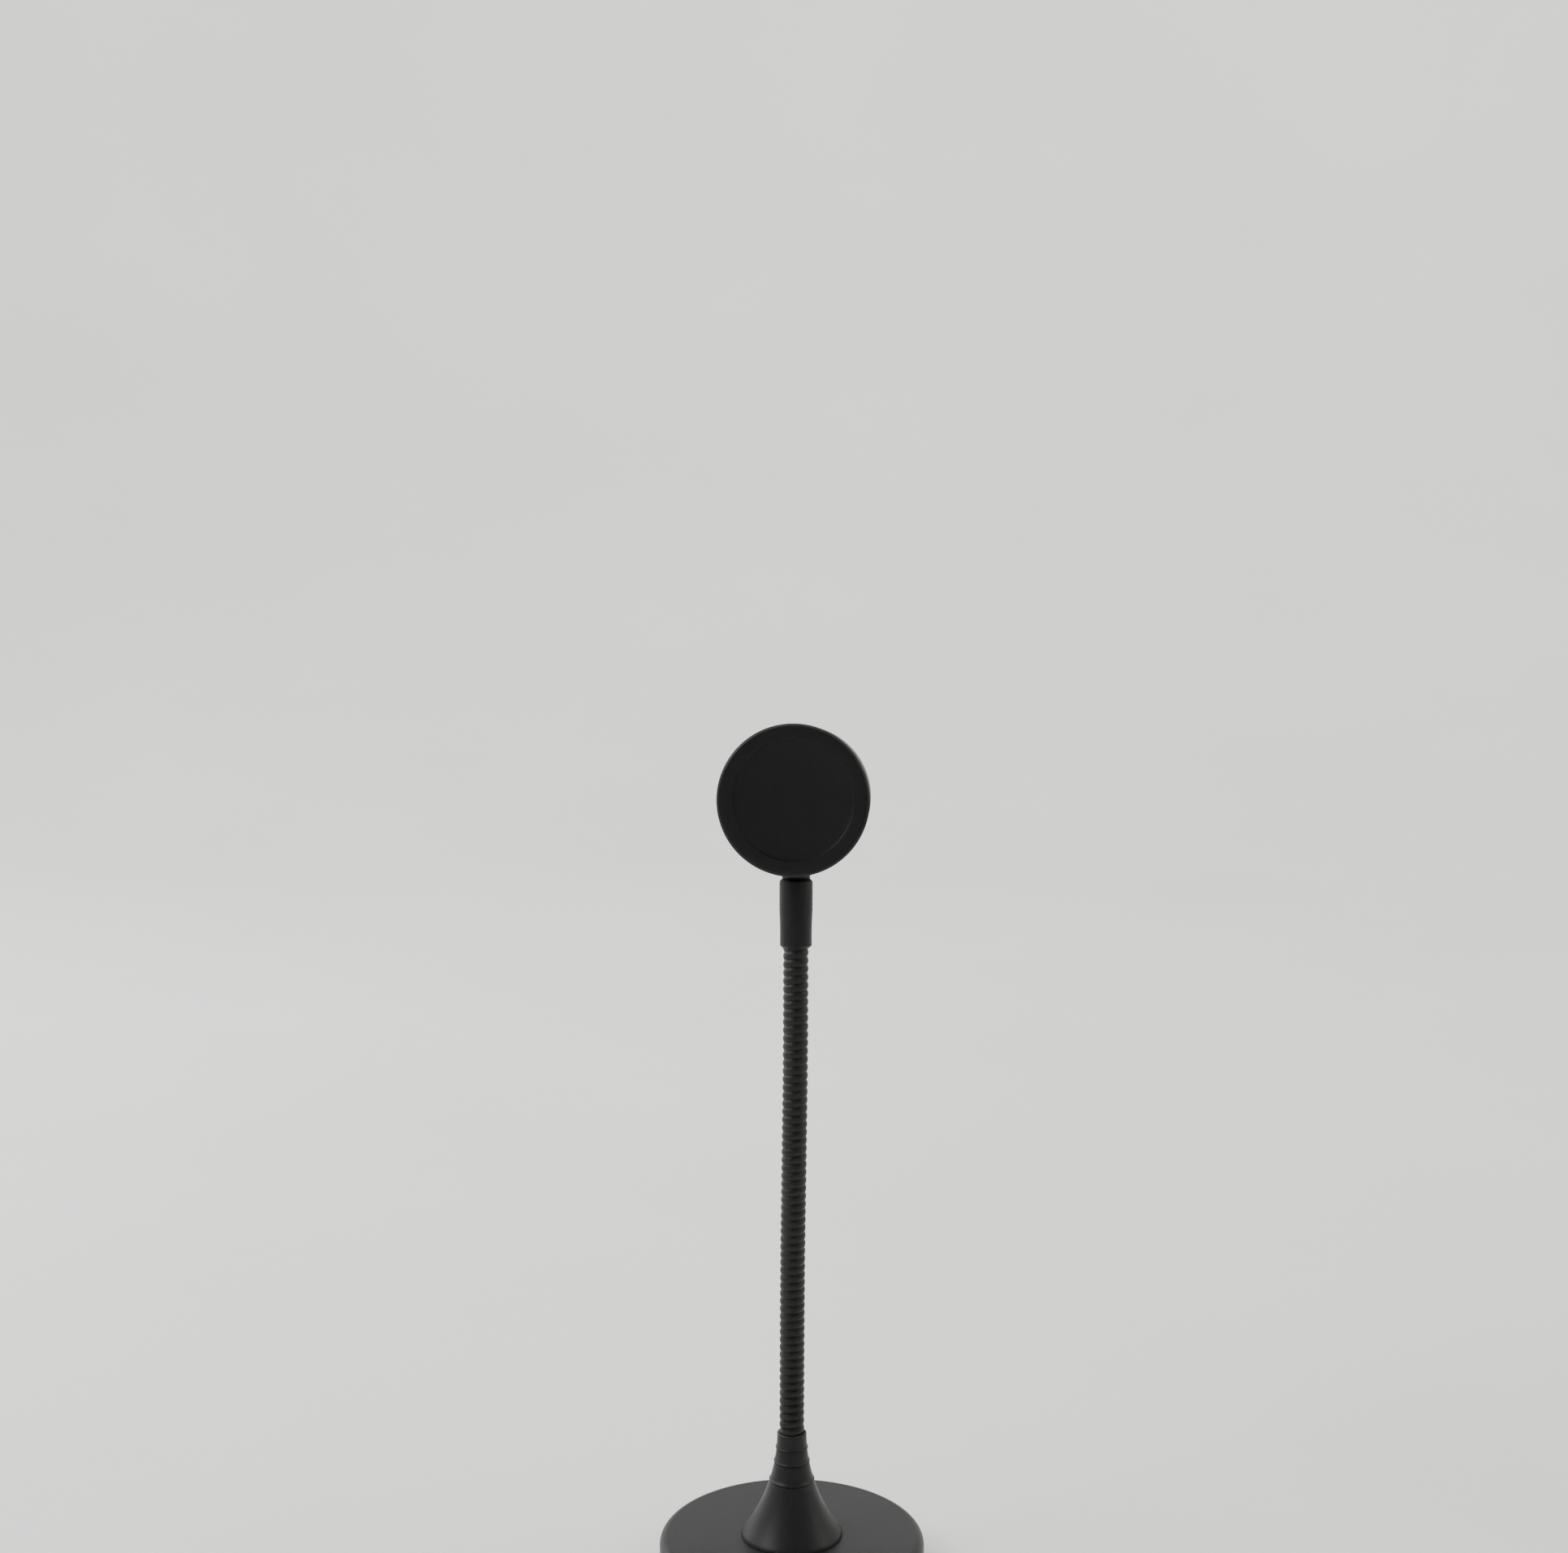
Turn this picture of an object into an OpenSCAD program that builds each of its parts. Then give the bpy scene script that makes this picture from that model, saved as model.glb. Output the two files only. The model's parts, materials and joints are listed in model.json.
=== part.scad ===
// Table lamp that throws a round coloured patch of light on a wall: a weighted disc base,
// a ribbed gooseneck and a short cylindrical head with a domed lens.
// Z is up, the origin is the centre of the base's underside, and the light leaves towards -Y.

/* [Head] */
// Outer diameter of the head
head_d = 49; // [46:0.5:56]
// Wall of the head's tube
head_wall = 2; // [1.6:0.1:2.4]
// Length of the tube behind the neck's axis
shell_rear = 24; // [23:0.5:30]
// Length of the tube ahead of the neck's axis
shell_front = 22; // [21:0.5:28]
// Thickness of the rear cap
cap_t = 4; // [3:0.5:6]
// Depth of the shallow dish in the rear cap
cap_dish = 0.6; // [0.3:0.1:1.2]
// Chamfer on the rear cap's edge
cap_chamfer = 0.8; // [0.4:0.1:1.4]
// Number of cooling grooves around the tube
groove_n = 4; // [2:1:5]
// Width of a cooling groove
groove_w = 1.2; // [0.8:0.1:1.6]
// Depth of a cooling groove
groove_depth = 0.8; // [0.4:0.1:1]
// Distance from one cooling groove to the next
groove_pitch = 2.6; // [2.2:0.1:3.2]

/* [Optics] */
// Diameter of the lens
lens_d = 36; // [33:0.5:37]
// Straight edge of the lens
lens_edge = 3; // [2:0.5:4]
// Height of the lens's dome above its edge
lens_dome = 8; // [5:0.5:9]
// Length of the front bezel ahead of the tube
bezel_len = 9; // [8:0.5:14]
// Width of the bezel's lip that holds the lens
bezel_lip = 1.6; // [1.2:0.1:2.2]
// Ridges in the bezel's knurled band
knurl_n = 72; // [48:6:90]
// Depth of the knurl
knurl_depth = 0.5; // [0.3:0.1:0.7]
// Width of the knurled band
knurl_w = 5; // [3:0.5:6]
// Thickness of the sealing ring's cord
seal_d = 1.8; // [1.4:0.1:2]
// Thickness of the colour filter
filter_t = 1.5; // [1:0.1:2]
// Hole in the lens barrel that the light passes
aperture_d = 25; // [22:0.5:27]
// Width of the lamp's square light source
led_w = 7; // [5:0.5:9]
// Diameter of the board that carries the light source
led_board_d = 30; // [24:1:36]
// Thickness of that board
led_board_t = 1.6; // [1:0.1:2]
// Thickness of the heat sink's plate
sink_t = 3; // [2:0.5:4]
// Height of the heat sink's fins
fin_h = 9.5; // [5:0.5:10]
// Thickness of a fin
fin_t = 1.4; // [1:0.1:2]
// Distance from one fin to the next
fin_pitch = 4.6; // [3.6:0.1:6]

/* [Neck] */
// Outer diameter of the gooseneck
neck_d = 8.5; // [7:0.25:9]
// Distance from one rib to the next
rib_pitch = 2.73; // [2.5:0.01:3]
// Depth of the grooves between the ribs
rib_depth = 0.46; // [0.4:0.02:0.7]
// Ribs on each turning length
link_ribs = 5; // [4:1:6]
// Ribs on the fixed length at each end
stub_ribs = 3; // [2:1:4]
// Slit between two lengths
slit = 1.3; // [1.1:0.05:1.4]
// Diameter of the ball that each length turns on
ball_d = 5.6; // [5.4:0.1:6]
// Diameter of the cable inside the neck
cable_d = 2; // [1.6:0.1:2.2]
// Length of the neck's plain end inside a fitting
end_seat = 10; // [8:0.5:12]

/* [Fittings] */
// Diameter of the upper ferrule at the head
ferrule_d = 11.1; // [10.5:0.1:12.5]
// Diameter of the upper ferrule at the neck
ferrule_low_d = 10.6; // [10:0.1:11.5]
// Length of the upper ferrule
ferrule_len = 23; // [21:0.5:28]
// Length of the ferrule's wider part
ferrule_step = 13; // [11:0.5:15]
// Chamfer at the ferrule's ends
ferrule_chamfer = 0.9; // [0.5:0.1:1.1]
// Diameter of the boss under the head
boss_d = 9.4; // [8.5:0.1:10]
// Height of the boss that shows under the head
boss_h = 2; // [1.5:0.1:3]
// Diameter of the hollow threaded stem into the head
stem_d = 6; // [5.5:0.1:6.4]
// Height of the flared fitting on the base
flare_h = 36; // [30:0.5:44]
// Diameter of the flared fitting at its top
flare_top_d = 10; // [9.6:0.1:11.5]
// Radius of the flare's hollow curve
flare_curve = 57; // [50:1:80]
// Diameter of the hollow stud under the flared fitting
stud_d = 8; // [7:0.25:9]

/* [Base] */
// Diameter of the base
base_d = 90; // [88:1:110]
// Height of the base
base_h = 15; // [15:0.5:20]
// Rounding of the base's upper edge
base_round = 3; // [1.5:0.5:4]
// Side wall of the base's cover
base_wall = 1.8; // [1.4:0.1:2.4]
// Top wall of the base's cover
base_top_t = 2; // [1.6:0.1:2.4]
// Thickness of the foot pad
pad_t = 1.5; // [1:0.1:2]
// Thickness of the bottom plate
plate_t = 2; // [1.6:0.1:2.4]
// Hole through the weight
weight_hole_d = 28; // [24:1:34]
// Air between the weight and the cover's top wall
weight_air = 1; // [0.6:0.1:2]
// Air between the weight and the posts of the cover screws
weight_side_air = 1; // [0.6:0.1:2]
// Distance of the four cover screws from the base's edge
screw_inset = 6; // [5.5:0.1:6.5]

/* [Control] */
// Diameter of the push button
button_d = 9; // [8:0.5:10]
// Distance of the button from the base's edge
button_inset = 18; // [16:0.5:20]
// Height of the button above the cover
button_proud = 1.4; // [1.2:0.1:2]
// Travel of the button
button_travel = 1; // [0.8:0.1:1.1]
// Width of the power inlet's metal shell
inlet_w = 8.94; // [8.9:0.01:9]
// Height of the power inlet's metal shell
inlet_h = 3.26; // [3.2:0.01:3.3]
// Depth of the power inlet
inlet_len = 7.3; // [6.5:0.1:8]
// Width of the control board
board_w = 24; // [22:1:24]
// Thickness of the control board
board_t = 1.6; // [1:0.1:1.6]

/* [Hidden] */
$fn = 64;

// fits and small sizes that the pieces share
fit = 0.05;             // radial clearance of a seat or a screw
slide_fit = 0.1;        // radial clearance of the button in its hole
eps = 0.01;             // overlap of a cut past a face

// attitude of the neck at rest, one value for each length from the base to the head
rest_lean = [0, -1.6, -2.8, -3.2, -2.9, -2.2, -1.2, 0, 1.2, 2.4, 3.6, 4.7, 5.6];
rest_sway = [0, -0.2, -0.2, -0.3, -0.4, -0.7, -0.8, -0.7, -0.8, -0.6, -0.3, -0.2, -0.2];
links = len(rest_lean) - 2;
head_yaw = -2.6;        // the head is turned a little on the neck

// neck
neck_r = neck_d / 2;
cable_r = cable_d / 2;
bore_r = cable_r + 0.3;
lead_r = 0.45;
lead_apart = lead_r + 0.1;      // a lead's distance from the cable's axis where it leaves it
ball_r = ball_d / 2;
end_r = neck_r - 2 * fit;
link_len = link_ribs * rib_pitch;
stub_len = stub_ribs * rib_pitch;
neck_foot = [0, 0, base_h + flare_h];

function dir(k) = let (a = rest_lean[k], b = rest_sway[k])
    [cos(a) * sin(b), -sin(a), cos(a) * cos(b)];
function joint(k) = k == 0 ? neck_foot
    : joint(k - 1) + (k == 1 ? stub_len : link_len) * dir(k - 1);
neck_top = joint(links + 1) + stub_len * dir(links + 1);

// head, measured along the light from the neck's axis
head_r = head_d / 2;
head_in = head_r - head_wall;
head_drop = ferrule_len + boss_h + head_r;
head_centre = neck_top + head_drop * dir(links + 1);
seat_r = head_in - fit;
spigot_wall = 1.2;                    // ring by which the rear cap is pressed into the tube
cap_rim = 5;                          // rim around the rear cap's dish
groove_start = 2;                     // from the tube's rear end to the first cooling groove

nut_af = 10;                          // nut inside the head
nut_t = 3.5;
washer_t = 0.8;
washer_r = 6;
pad_r = 7;                            // flat pad inside the tube, under the washer
pad_top = -(head_in - 3.2);
stem_top = pad_top + washer_t + nut_t + 0.7;
stem_r = stem_d / 2;
stem_in_ferrule = ferrule_len - end_seat - 1;
optics_clear = washer_r + 1.5;        // from the neck's axis to the ledges on either side
ledge_t = 1.5;
ledge_w = 1.7;

sink_face = -(optics_clear + ledge_t);
fins_a_side = 4;
pad_sheet_t = 0.5;                    // soft sheet between the heat sink and the board
board_back = sink_face + pad_sheet_t;
board_face = board_back + led_board_t;
led_t = 0.8;
phosphor_t = 0.4;
led_screw_d = 2;
led_screw_at = led_board_d / 2 - 3;

barrel_back = optics_clear + ledge_t;
barrel_floor = 1.5;
lens_r = lens_d / 2;
filter_front = barrel_back + barrel_floor + filter_t;
filter_r = lens_r - 1.2;
spacer_w = 1.6;                       // shoulder between the filter and the lens
lens_back = filter_front + spacer_w;
lens_front = lens_back + lens_edge;
barrel_front = lens_front + 1;
dome_r = (lens_r * lens_r + lens_dome * lens_dome) / (2 * lens_dome);
dome_centre = lens_front + lens_dome - dome_r;
seal_r = seal_d / 2;
seal_ring_r = lens_r - seal_r;
seal_at = dome_centre + sqrt(pow(dome_r + seal_r + fit, 2) - seal_ring_r * seal_ring_r);
lip_at = seal_at + seal_r;
lip_r = seal_ring_r + seal_r - bezel_lip;
bezel_front = shell_front + bezel_len;
bezel_rim = 1.6;                      // width of the bezel's front rim
aperture_r = aperture_d / 2;
mirror_wall = 0.8;
mirror_small_r = led_w * 0.75;
mirror_big_r = aperture_r - mirror_wall - 0.4;
mirror_front = barrel_back - 0.4;

// base
base_r = base_d / 2;
cover_foot = pad_t - 0.3;
base_in = base_r - base_wall;
under_top = base_h - base_top_t;
plate_top = pad_t + plate_t;
pad_inset = 1;                        // the pad covers the heads of the cover screws
stud_r = stud_d / 2;
stud_nut_af = 13;
stud_nut_t = 4;
stud_foot = under_top - washer_t - stud_nut_t - 0.5;
post_r = 3;
screw_ring_r = base_r - screw_inset;
weight_r = screw_ring_r - post_r - weight_side_air;
screw_d = 2.5;
screw_len = 8;
screw_head_d = 4.6;
screw_head_h = 1.2;
post_angles = [30, 150, 210, 330];

standoff_h = 1;
board_low = plate_top + standoff_h;
board_top = board_low + board_t;
board_near = 14;
board_far = sqrt(base_in * base_in - board_w * board_w / 4) - 0.6;
board_screw_x = board_w / 2 - 3;
board_screw_y = board_near + 3;
board_screw_d = 2;
inlet_mouth = sqrt(base_r * base_r - inlet_w * inlet_w / 4) - 0.2;
inlet_wall = 0.3;
inlet_back_t = 1;                     // plug of plastic behind the tongue
inlet_mid = board_top + inlet_h / 2;
tongue_w = inlet_w - 2.25;
tongue_h = 0.7;
tongue_set_back = 0.8;                // from the inlet's mouth to the tongue's tip
switch_w = 8;
switch_h = 3;
button_r = button_d / 2;
button_at = base_r - button_inset;    // from the centre
button_flange_w = 1.1;
button_flange_t = 0.8;
button_skin = 1;                       // top wall of the button
spring_wire = 0.35;
spring_turns = 5;
spring_low = board_top + switch_h;
spring_r = button_r - 2.1;
guide_r = spring_r - spring_wire - 0.25;
button_pocket = base_h + button_proud - button_skin;
// at full travel the button's stem still clears the switch body below it
button_foot = spring_low + button_travel + 0.4;

// ---------- shared shapes ----------

module ring(outer, inner, low, high) {
    translate([0, 0, low]) difference() {
        cylinder(r = outer, h = high - low);
        translate([0, 0, -eps]) cylinder(r = inner, h = high - low + 2 * eps);
    }
}

module disc(r, low, high) {
    translate([0, 0, low]) cylinder(r = r, h = high - low);
}

module hex_nut(across, bore, low, high) {
    translate([0, 0, low]) difference() {
        cylinder(d = across / cos(30), h = high - low, $fn = 6);
        translate([0, 0, -eps]) cylinder(r = bore, h = high - low + 2 * eps);
    }
}

module stadium(w, h) {
    square([w - h, h], center = true);
    for (side = [-1, 1]) translate([side * (w - h) / 2, 0]) circle(d = h);
}

// a round wire along a list of points; ref is never along the wire
function unit(v) = v / norm(v);
function tangent(p, i) = unit(p[min(i + 1, len(p) - 1)] - p[max(i - 1, 0)]);
function wire_ring(p, i, r, sides, ref) =
    let (t = tangent(p, i), u = unit(cross(t, ref)), v = cross(t, u))
    [for (j = [0:sides - 1]) p[i] + r * (cos(j * 360 / sides) * u + sin(j * 360 / sides) * v)];

module wire(p, r, sides, ref) {
    last = (len(p) - 1) * sides;
    points = [for (i = [0:len(p) - 1]) each wire_ring(p, i, r, sides, ref)];
    walls = [for (i = [0:len(p) - 2], j = [0:sides - 1])
        let (a = i * sides + j, b = i * sides + (j + 1) % sides)
        each [[a, b, b + sides], [a, b + sides, a + sides]]];
    low = [for (j = [1:sides - 2]) [0, j + 1, j]];
    high = [for (j = [1:sides - 2]) [last, last + j, last + j + 1]];
    polyhedron(points, concat(walls, low, high));
}

// frame of one length of the neck: its lower pivot, with Z along the length
module on_neck(k) {
    translate(joint(k)) rotate([rest_lean[k], rest_sway[k], 0]) children();
}

// frame of the head: X across, Y up the neck, Z along the light
module in_head() {
    translate(head_centre) rotate([rest_lean[links + 1], rest_sway[links + 1], 0])
        rotate([0, 0, head_yaw]) rotate([90, 0, 0]) children();
}

// the pieces that stand on the neck's axis inside the head
module up_stem() {
    rotate([-90, 0, 0]) children();
}

// ---------- head ----------

module head_shell() {
    color("#16161a") in_head() difference() {
        union() {
            ring(head_r, head_in, -shell_rear, shell_front);
            ring(head_in + eps, head_in - ledge_w, sink_face, sink_face + ledge_t);
            ring(head_in + eps, head_in - ledge_w, optics_clear, barrel_back);
            up_stem() disc(boss_d / 2, -head_r - boss_h, -head_in);
            up_stem() disc(pad_r, -head_r + head_wall / 2, pad_top);
        }
        up_stem() disc(stem_r + fit, -head_r - boss_h - eps, pad_top + eps);
        for (i = [0:groove_n - 1]) {
            low = -shell_rear + groove_start + i * groove_pitch;
            ring(head_r + 1, head_r - groove_depth, low, low + groove_w);
        }
    }
}

module rear_cap() {
    low = -shell_rear - cap_t;
    color("#16161a") in_head() difference() {
        union() {
            disc(head_r, low + cap_chamfer, -shell_rear);
            translate([0, 0, low])
                cylinder(r1 = head_r - cap_chamfer, r2 = head_r, h = cap_chamfer);
            ring(seat_r, seat_r - spigot_wall, -shell_rear - eps, sink_face - sink_t);
        }
        disc(head_r - cap_rim, low - eps, low + cap_dish);
    }
}

module knurl_profile() {
    polygon([for (i = [0:2 * knurl_n - 1])
        let (r = head_r - fit - (i % 2) * knurl_depth, a = i * 180 / knurl_n)
        [r * cos(a), r * sin(a)]]);
}

module front_bezel() {
    band = shell_front + (bezel_len - knurl_w) / 2;
    hood_r = head_r - bezel_rim;
    knurl_root = 0.3;                 // metal under the knurl that its ring shares with the bezel
    core_r = head_r - knurl_depth - knurl_root;
    front_chamfer = 0.6;
    lip_t = 1.2;
    color("#16161a") in_head() {
        rotate_extrude() polygon([
            [seal_ring_r + seal_r + fit, barrel_front], [seat_r, barrel_front],
            [seat_r, shell_front], [head_r, shell_front], [head_r, band],
            [core_r, band], [core_r, band + knurl_w],
            [head_r, band + knurl_w], [head_r, bezel_front - front_chamfer],
            [head_r - front_chamfer, bezel_front], [hood_r, bezel_front],
            [lip_r, lip_at + lip_t], [lip_r, lip_at],
            [seal_ring_r + seal_r + fit, lip_at]
        ]);
        translate([0, 0, band]) linear_extrude(knurl_w) difference() {
            knurl_profile();
            circle(r = core_r - knurl_root);
        }
    }
}

module lens_seal() {
    color("#202020") in_head() translate([0, 0, seal_at]) rotate_extrude()
        translate([seal_ring_r, 0]) circle(r = seal_r, $fn = 24);
}

module projection_lens() {
    color("#f2a33a") in_head() intersection() {
        disc(lens_r, lens_back, lens_front + lens_dome + 1);
        translate([0, 0, dome_centre]) sphere(r = dome_r);
    }
}

module colour_filter() {
    color("#e8601c") in_head() disc(filter_r, filter_front - filter_t, filter_front);
}

module lens_barrel() {
    color("#26262a") in_head() difference() {
        disc(seat_r, barrel_back, barrel_front);
        disc(aperture_r, barrel_back - eps, barrel_front);
        disc(filter_r + fit, filter_front - filter_t, barrel_front);
        disc(lens_r + fit, lens_back, barrel_front + eps);
    }
}

module reflector() {
    color("#d9d9dc") in_head() rotate_extrude() polygon([
        [mirror_small_r, board_face], [mirror_small_r + mirror_wall, board_face],
        [mirror_big_r + mirror_wall, mirror_front], [mirror_big_r, mirror_front]
    ]);
}

module led_chip() {
    color("#efe9d8") in_head() translate([-led_w / 2, -led_w / 2, board_face])
        cube([led_w, led_w, led_t]);
}

module led_phosphor() {
    color("#f4c430") in_head() disc(led_w * 0.36, board_face + led_t, board_face + led_t + phosphor_t);
}

module led_board() {
    color("#e9e9e4") in_head() difference() {
        disc(led_board_d / 2, board_back, board_face);
        led_screw_places() disc(led_screw_d / 2 + fit, board_back - eps, board_face + eps);
    }
}

module led_screw_places() {
    for (side = [-1, 1]) translate([side * led_screw_at, 0, 0]) children();
}

module thermal_pad() {
    color("#8fb0c8") in_head() difference() {
        disc(led_board_d / 2 - 1, sink_face, board_back);
        led_screw_places() disc(led_screw_d / 2 + fit, sink_face - eps, board_back + eps);
    }
}

module heat_sink() {
    fin_r = seat_r - spigot_wall - 1.2;   // the fins stay clear of the cap's ring
    back = sink_face - sink_t;
    color("#a9abb0") in_head() difference() {
        union() {
            disc(seat_r - fit, back, sink_face);
            intersection() {
                disc(fin_r, back - fin_h, back + eps);
                for (x = [-fins_a_side:fins_a_side])
                    translate([x * fin_pitch - fin_t / 2, -fin_r, back - fin_h])
                        cube([fin_t, 2 * fin_r, fin_h + eps]);
            }
        }
        led_screw_places() disc(led_screw_d / 2 + fit, back + 0.5, sink_face + eps);
    }
}

module led_board_screws() {
    color("#c7c9cc") in_head() led_screw_places() difference() {
        union() {
            disc(led_screw_d / 2, sink_face - sink_t + 0.7, board_face);
            disc(led_screw_d - 0.1, board_face, board_face + 1.2);
        }
        translate([-led_screw_d, -0.2, board_face + 0.6]) cube([2 * led_screw_d, 0.4, 1]);
    }
}

module threaded_stem() {
    color("#b6b8bb") in_head() up_stem()
        ring(stem_r, cable_r + fit, -head_r - boss_h - stem_in_ferrule, stem_top);
}

module stem_washer() {
    color("#c7c9cc") in_head() up_stem()
        ring(washer_r, stem_r + fit, pad_top, pad_top + washer_t);
}

module stem_nut() {
    color("#c7c9cc") in_head() up_stem()
        hex_nut(nut_af, stem_r + fit, pad_top + washer_t, pad_top + washer_t + nut_t);
}

// two wires from the cable's end to the light board; each leaves and arrives square to the face there
module head_leads() {
    up = stem_top + 1.4;
    for (side = [-1, 1])
        color(side < 0 ? "#b02a20" : "#1c1c1c") in_head() wire([
            [side * lead_apart, stem_top, 0], [side * lead_apart, stem_top + 0.5, 0],
            [side * 0.7, stem_top + 1.1, -0.5], [side * 1.2, up, -2],
            [side * 2.5, up - 0.2, board_face + 2.2], [side * 2.6, up - 0.2, board_face + 1],
            [side * 2.6, up - 0.2, board_face]
        ], lead_r, 8, [1, 0, 0]);
}

// ---------- neck ----------

module upper_ferrule() {
    wide = ferrule_d / 2;
    slim = ferrule_low_d / 2;
    step = ferrule_len - ferrule_step;
    color("#16161a") translate(neck_top) rotate([rest_lean[links + 1], rest_sway[links + 1], 0])
        difference() {
            rotate_extrude() polygon([
                [0, 0], [slim - ferrule_chamfer, 0], [slim, ferrule_chamfer], [slim, step - 3],
                [wide, step + 3], [wide, ferrule_len - ferrule_chamfer],
                [wide - ferrule_chamfer, ferrule_len], [0, ferrule_len]
            ]);
            disc(end_r + fit, -eps, end_seat);
            disc(cable_r + fit, 0, ferrule_len);
            disc(stem_r + fit, ferrule_len - stem_in_ferrule, ferrule_len + eps);
        }
}

// outline of a run of ribs from z = 0, each a rounded wire, with the slits cut at its open ends
function rib_outline(ribs, cut_low, cut_high) = [
    for (i = [0:ribs - 1], j = [i == 0 ? 0 : 1:6])
        let (t = j / 6,
            half = rib_pitch / 2,
            low = i == 0 ? half - cut_low : half,
            high = i == ribs - 1 ? half - cut_high : half,
            side = 2 * t - 1,
            z = (i + 0.5) * rib_pitch + side * (side < 0 ? low : high))
        [neck_r - rib_depth * side * side, z]
];

module ribbed_length(ribs, cut_low, cut_high) {
    long = ribs * rib_pitch;
    rotate_extrude() polygon(concat(
        [[0, cut_low]], rib_outline(ribs, cut_low, cut_high), [[0, long - cut_high]]));
}

// one turning length: a socket at its foot, a ball at its top and a bore for the cable
module neck_link(k) {
    color("#2b2c30") on_neck(k) difference() {
        union() {
            ribbed_length(link_ribs, slit / 2, slit / 2);
            translate([0, 0, link_len]) sphere(r = ball_r);
        }
        sphere(r = ball_r + fit);
        disc(bore_r, -ball_r, link_len + ball_r + 1);
    }
}

module neck_end_lower() {
    color("#2b2c30") on_neck(0) difference() {
        union() {
            disc(end_r, -end_seat + fit, eps);
            ribbed_length(stub_ribs, 0, slit / 2);
            translate([0, 0, stub_len]) sphere(r = ball_r);
        }
        disc(bore_r, -end_seat - 1, stub_len + ball_r + 1);
    }
}

module neck_end_upper() {
    color("#2b2c30") on_neck(links + 1) difference() {
        union() {
            ribbed_length(stub_ribs, slit / 2, 0);
            disc(end_r, stub_len - eps, stub_len + end_seat - fit);
        }
        sphere(r = ball_r + fit);
        disc(bore_r, -ball_r, stub_len + end_seat + 1);
    }
}

// the cable runs from the stud's foot to the stem's top, through every pivot
module neck_cable() {
    top = head_centre + (stem_top * dir(links + 1));
    color("#1b1b1b") wire(concat(
        [[0, 0, stud_foot]], [for (k = [0:links + 1]) joint(k)], [neck_top, top]
    ), cable_r, 8, [1, 0, 0]);
}

// ---------- base ----------

bead_places = [5.2, 10, 16.5];        // distance of each raised bead from the fitting's top
bead_r = 0.45;
bead_sunk = 0.15;

// hollow curve of the fitting, from its narrow top down to the cover
function flare_outline() = [
    for (d = [0:2:flare_h - 0.5]) [flare_at(d), flare_h - d]
];
function flare_at(d) = flare_top_d / 2 + flare_curve - sqrt(flare_curve * flare_curve - d * d);

module flare_bead(d) {
    translate([0, 0, flare_h - d]) rotate_extrude()
        translate([flare_at(d) - bead_sunk, 0]) circle(r = bead_r, $fn = 16);
}

module flared_fitting() {
    cable_way = cable_r + 0.2;
    color("#16161a") translate([0, 0, base_h]) difference() {
        union() {
            rotate_extrude() polygon(concat(
                [[0, flare_h]], flare_outline(), [[flare_at(flare_h - 1), 0], [0, 0]]));
            for (d = bead_places) flare_bead(d);
            disc(stud_r, stud_foot - base_h, eps);
        }
        disc(end_r + fit, flare_h - end_seat, flare_h + 1);
        disc(cable_way, stud_foot - base_h - eps, flare_h);
    }
}

function base_outline(r, low, high, round) = concat(
    [[0, low], [r, low]],
    [for (a = [0:10:90]) [r - round + round * cos(a), high - round + round * sin(a)]],
    [[0, high]]
);

module base_cover() {
    color("#16161a") difference() {
        union() {
            difference() {
                rotate_extrude() polygon(base_outline(base_r, cover_foot, base_h, base_round));
                rotate_extrude() polygon(base_outline(base_in, cover_foot - 1, under_top, base_round));
            }
            for (a = post_angles) rotate([0, 0, a]) translate([screw_ring_r, 0, 0])
                disc(post_r, plate_top, under_top + eps);
        }
        disc(stud_r + fit, under_top - eps, base_h + eps);
        translate([0, button_at, 0]) disc(button_r + slide_fit, under_top - eps, base_h + eps);
        for (a = post_angles) rotate([0, 0, a]) translate([screw_ring_r, 0, 0])
            disc(screw_d / 2 + fit, plate_top - eps, pad_t + screw_len + 0.5);
        translate([0, base_in - 3, inlet_mid]) rotate([-90, 0, 0])
            linear_extrude(base_wall + 4) stadium(inlet_w + 0.3, inlet_h + 0.3);
    }
}

module base_weight() {
    slot = board_w + 2;
    color("#5a5c60") difference() {
        ring(weight_r, weight_hole_d / 2, plate_top, under_top - weight_air);
        translate([-slot / 2, 0, plate_top - eps]) cube([slot, base_r, base_h]);
    }
}

module bottom_plate() {
    color("#3a3b3f") difference() {
        union() {
            disc(base_in - 0.2, pad_t, plate_top);
            control_screw_places() disc(2.4, plate_top - eps, board_low);
        }
        for (a = post_angles) rotate([0, 0, a]) translate([screw_ring_r, 0, pad_t]) {
            disc(screw_d / 2 + fit, -eps, plate_t + eps);
            translate([0, 0, -eps]) cylinder(
                r1 = screw_head_d / 2 + fit, r2 = screw_d / 2 + fit, h = screw_head_h);
        }
        control_screw_places() disc(board_screw_d / 2 + fit, pad_t + 0.4, board_low + eps);
    }
}

module foot_pad() {
    color("#101012") disc(base_in - pad_inset, 0, pad_t);
}

module lock_washer() {
    color("#c7c9cc") ring(stud_nut_af / 2 + 0.6, stud_r + fit, under_top - washer_t, under_top);
}

module fitting_nut() {
    color("#c7c9cc") hex_nut(stud_nut_af, stud_r + fit,
        under_top - washer_t - stud_nut_t, under_top - washer_t);
}

module cover_screws() {
    color("#c7c9cc") for (a = post_angles) rotate([0, 0, a]) translate([screw_ring_r, 0, pad_t])
        difference() {
            union() {
                disc(screw_d / 2, 0, screw_len);
                cylinder(r1 = screw_head_d / 2, r2 = screw_d / 2, h = screw_head_h - 2 * fit);
            }
            for (turn = [0, 90]) rotate([0, 0, turn])
                translate([-1.2, -0.25, -eps]) cube([2.4, 0.5, 0.7]);
        }
}

// ---------- control ----------

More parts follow.
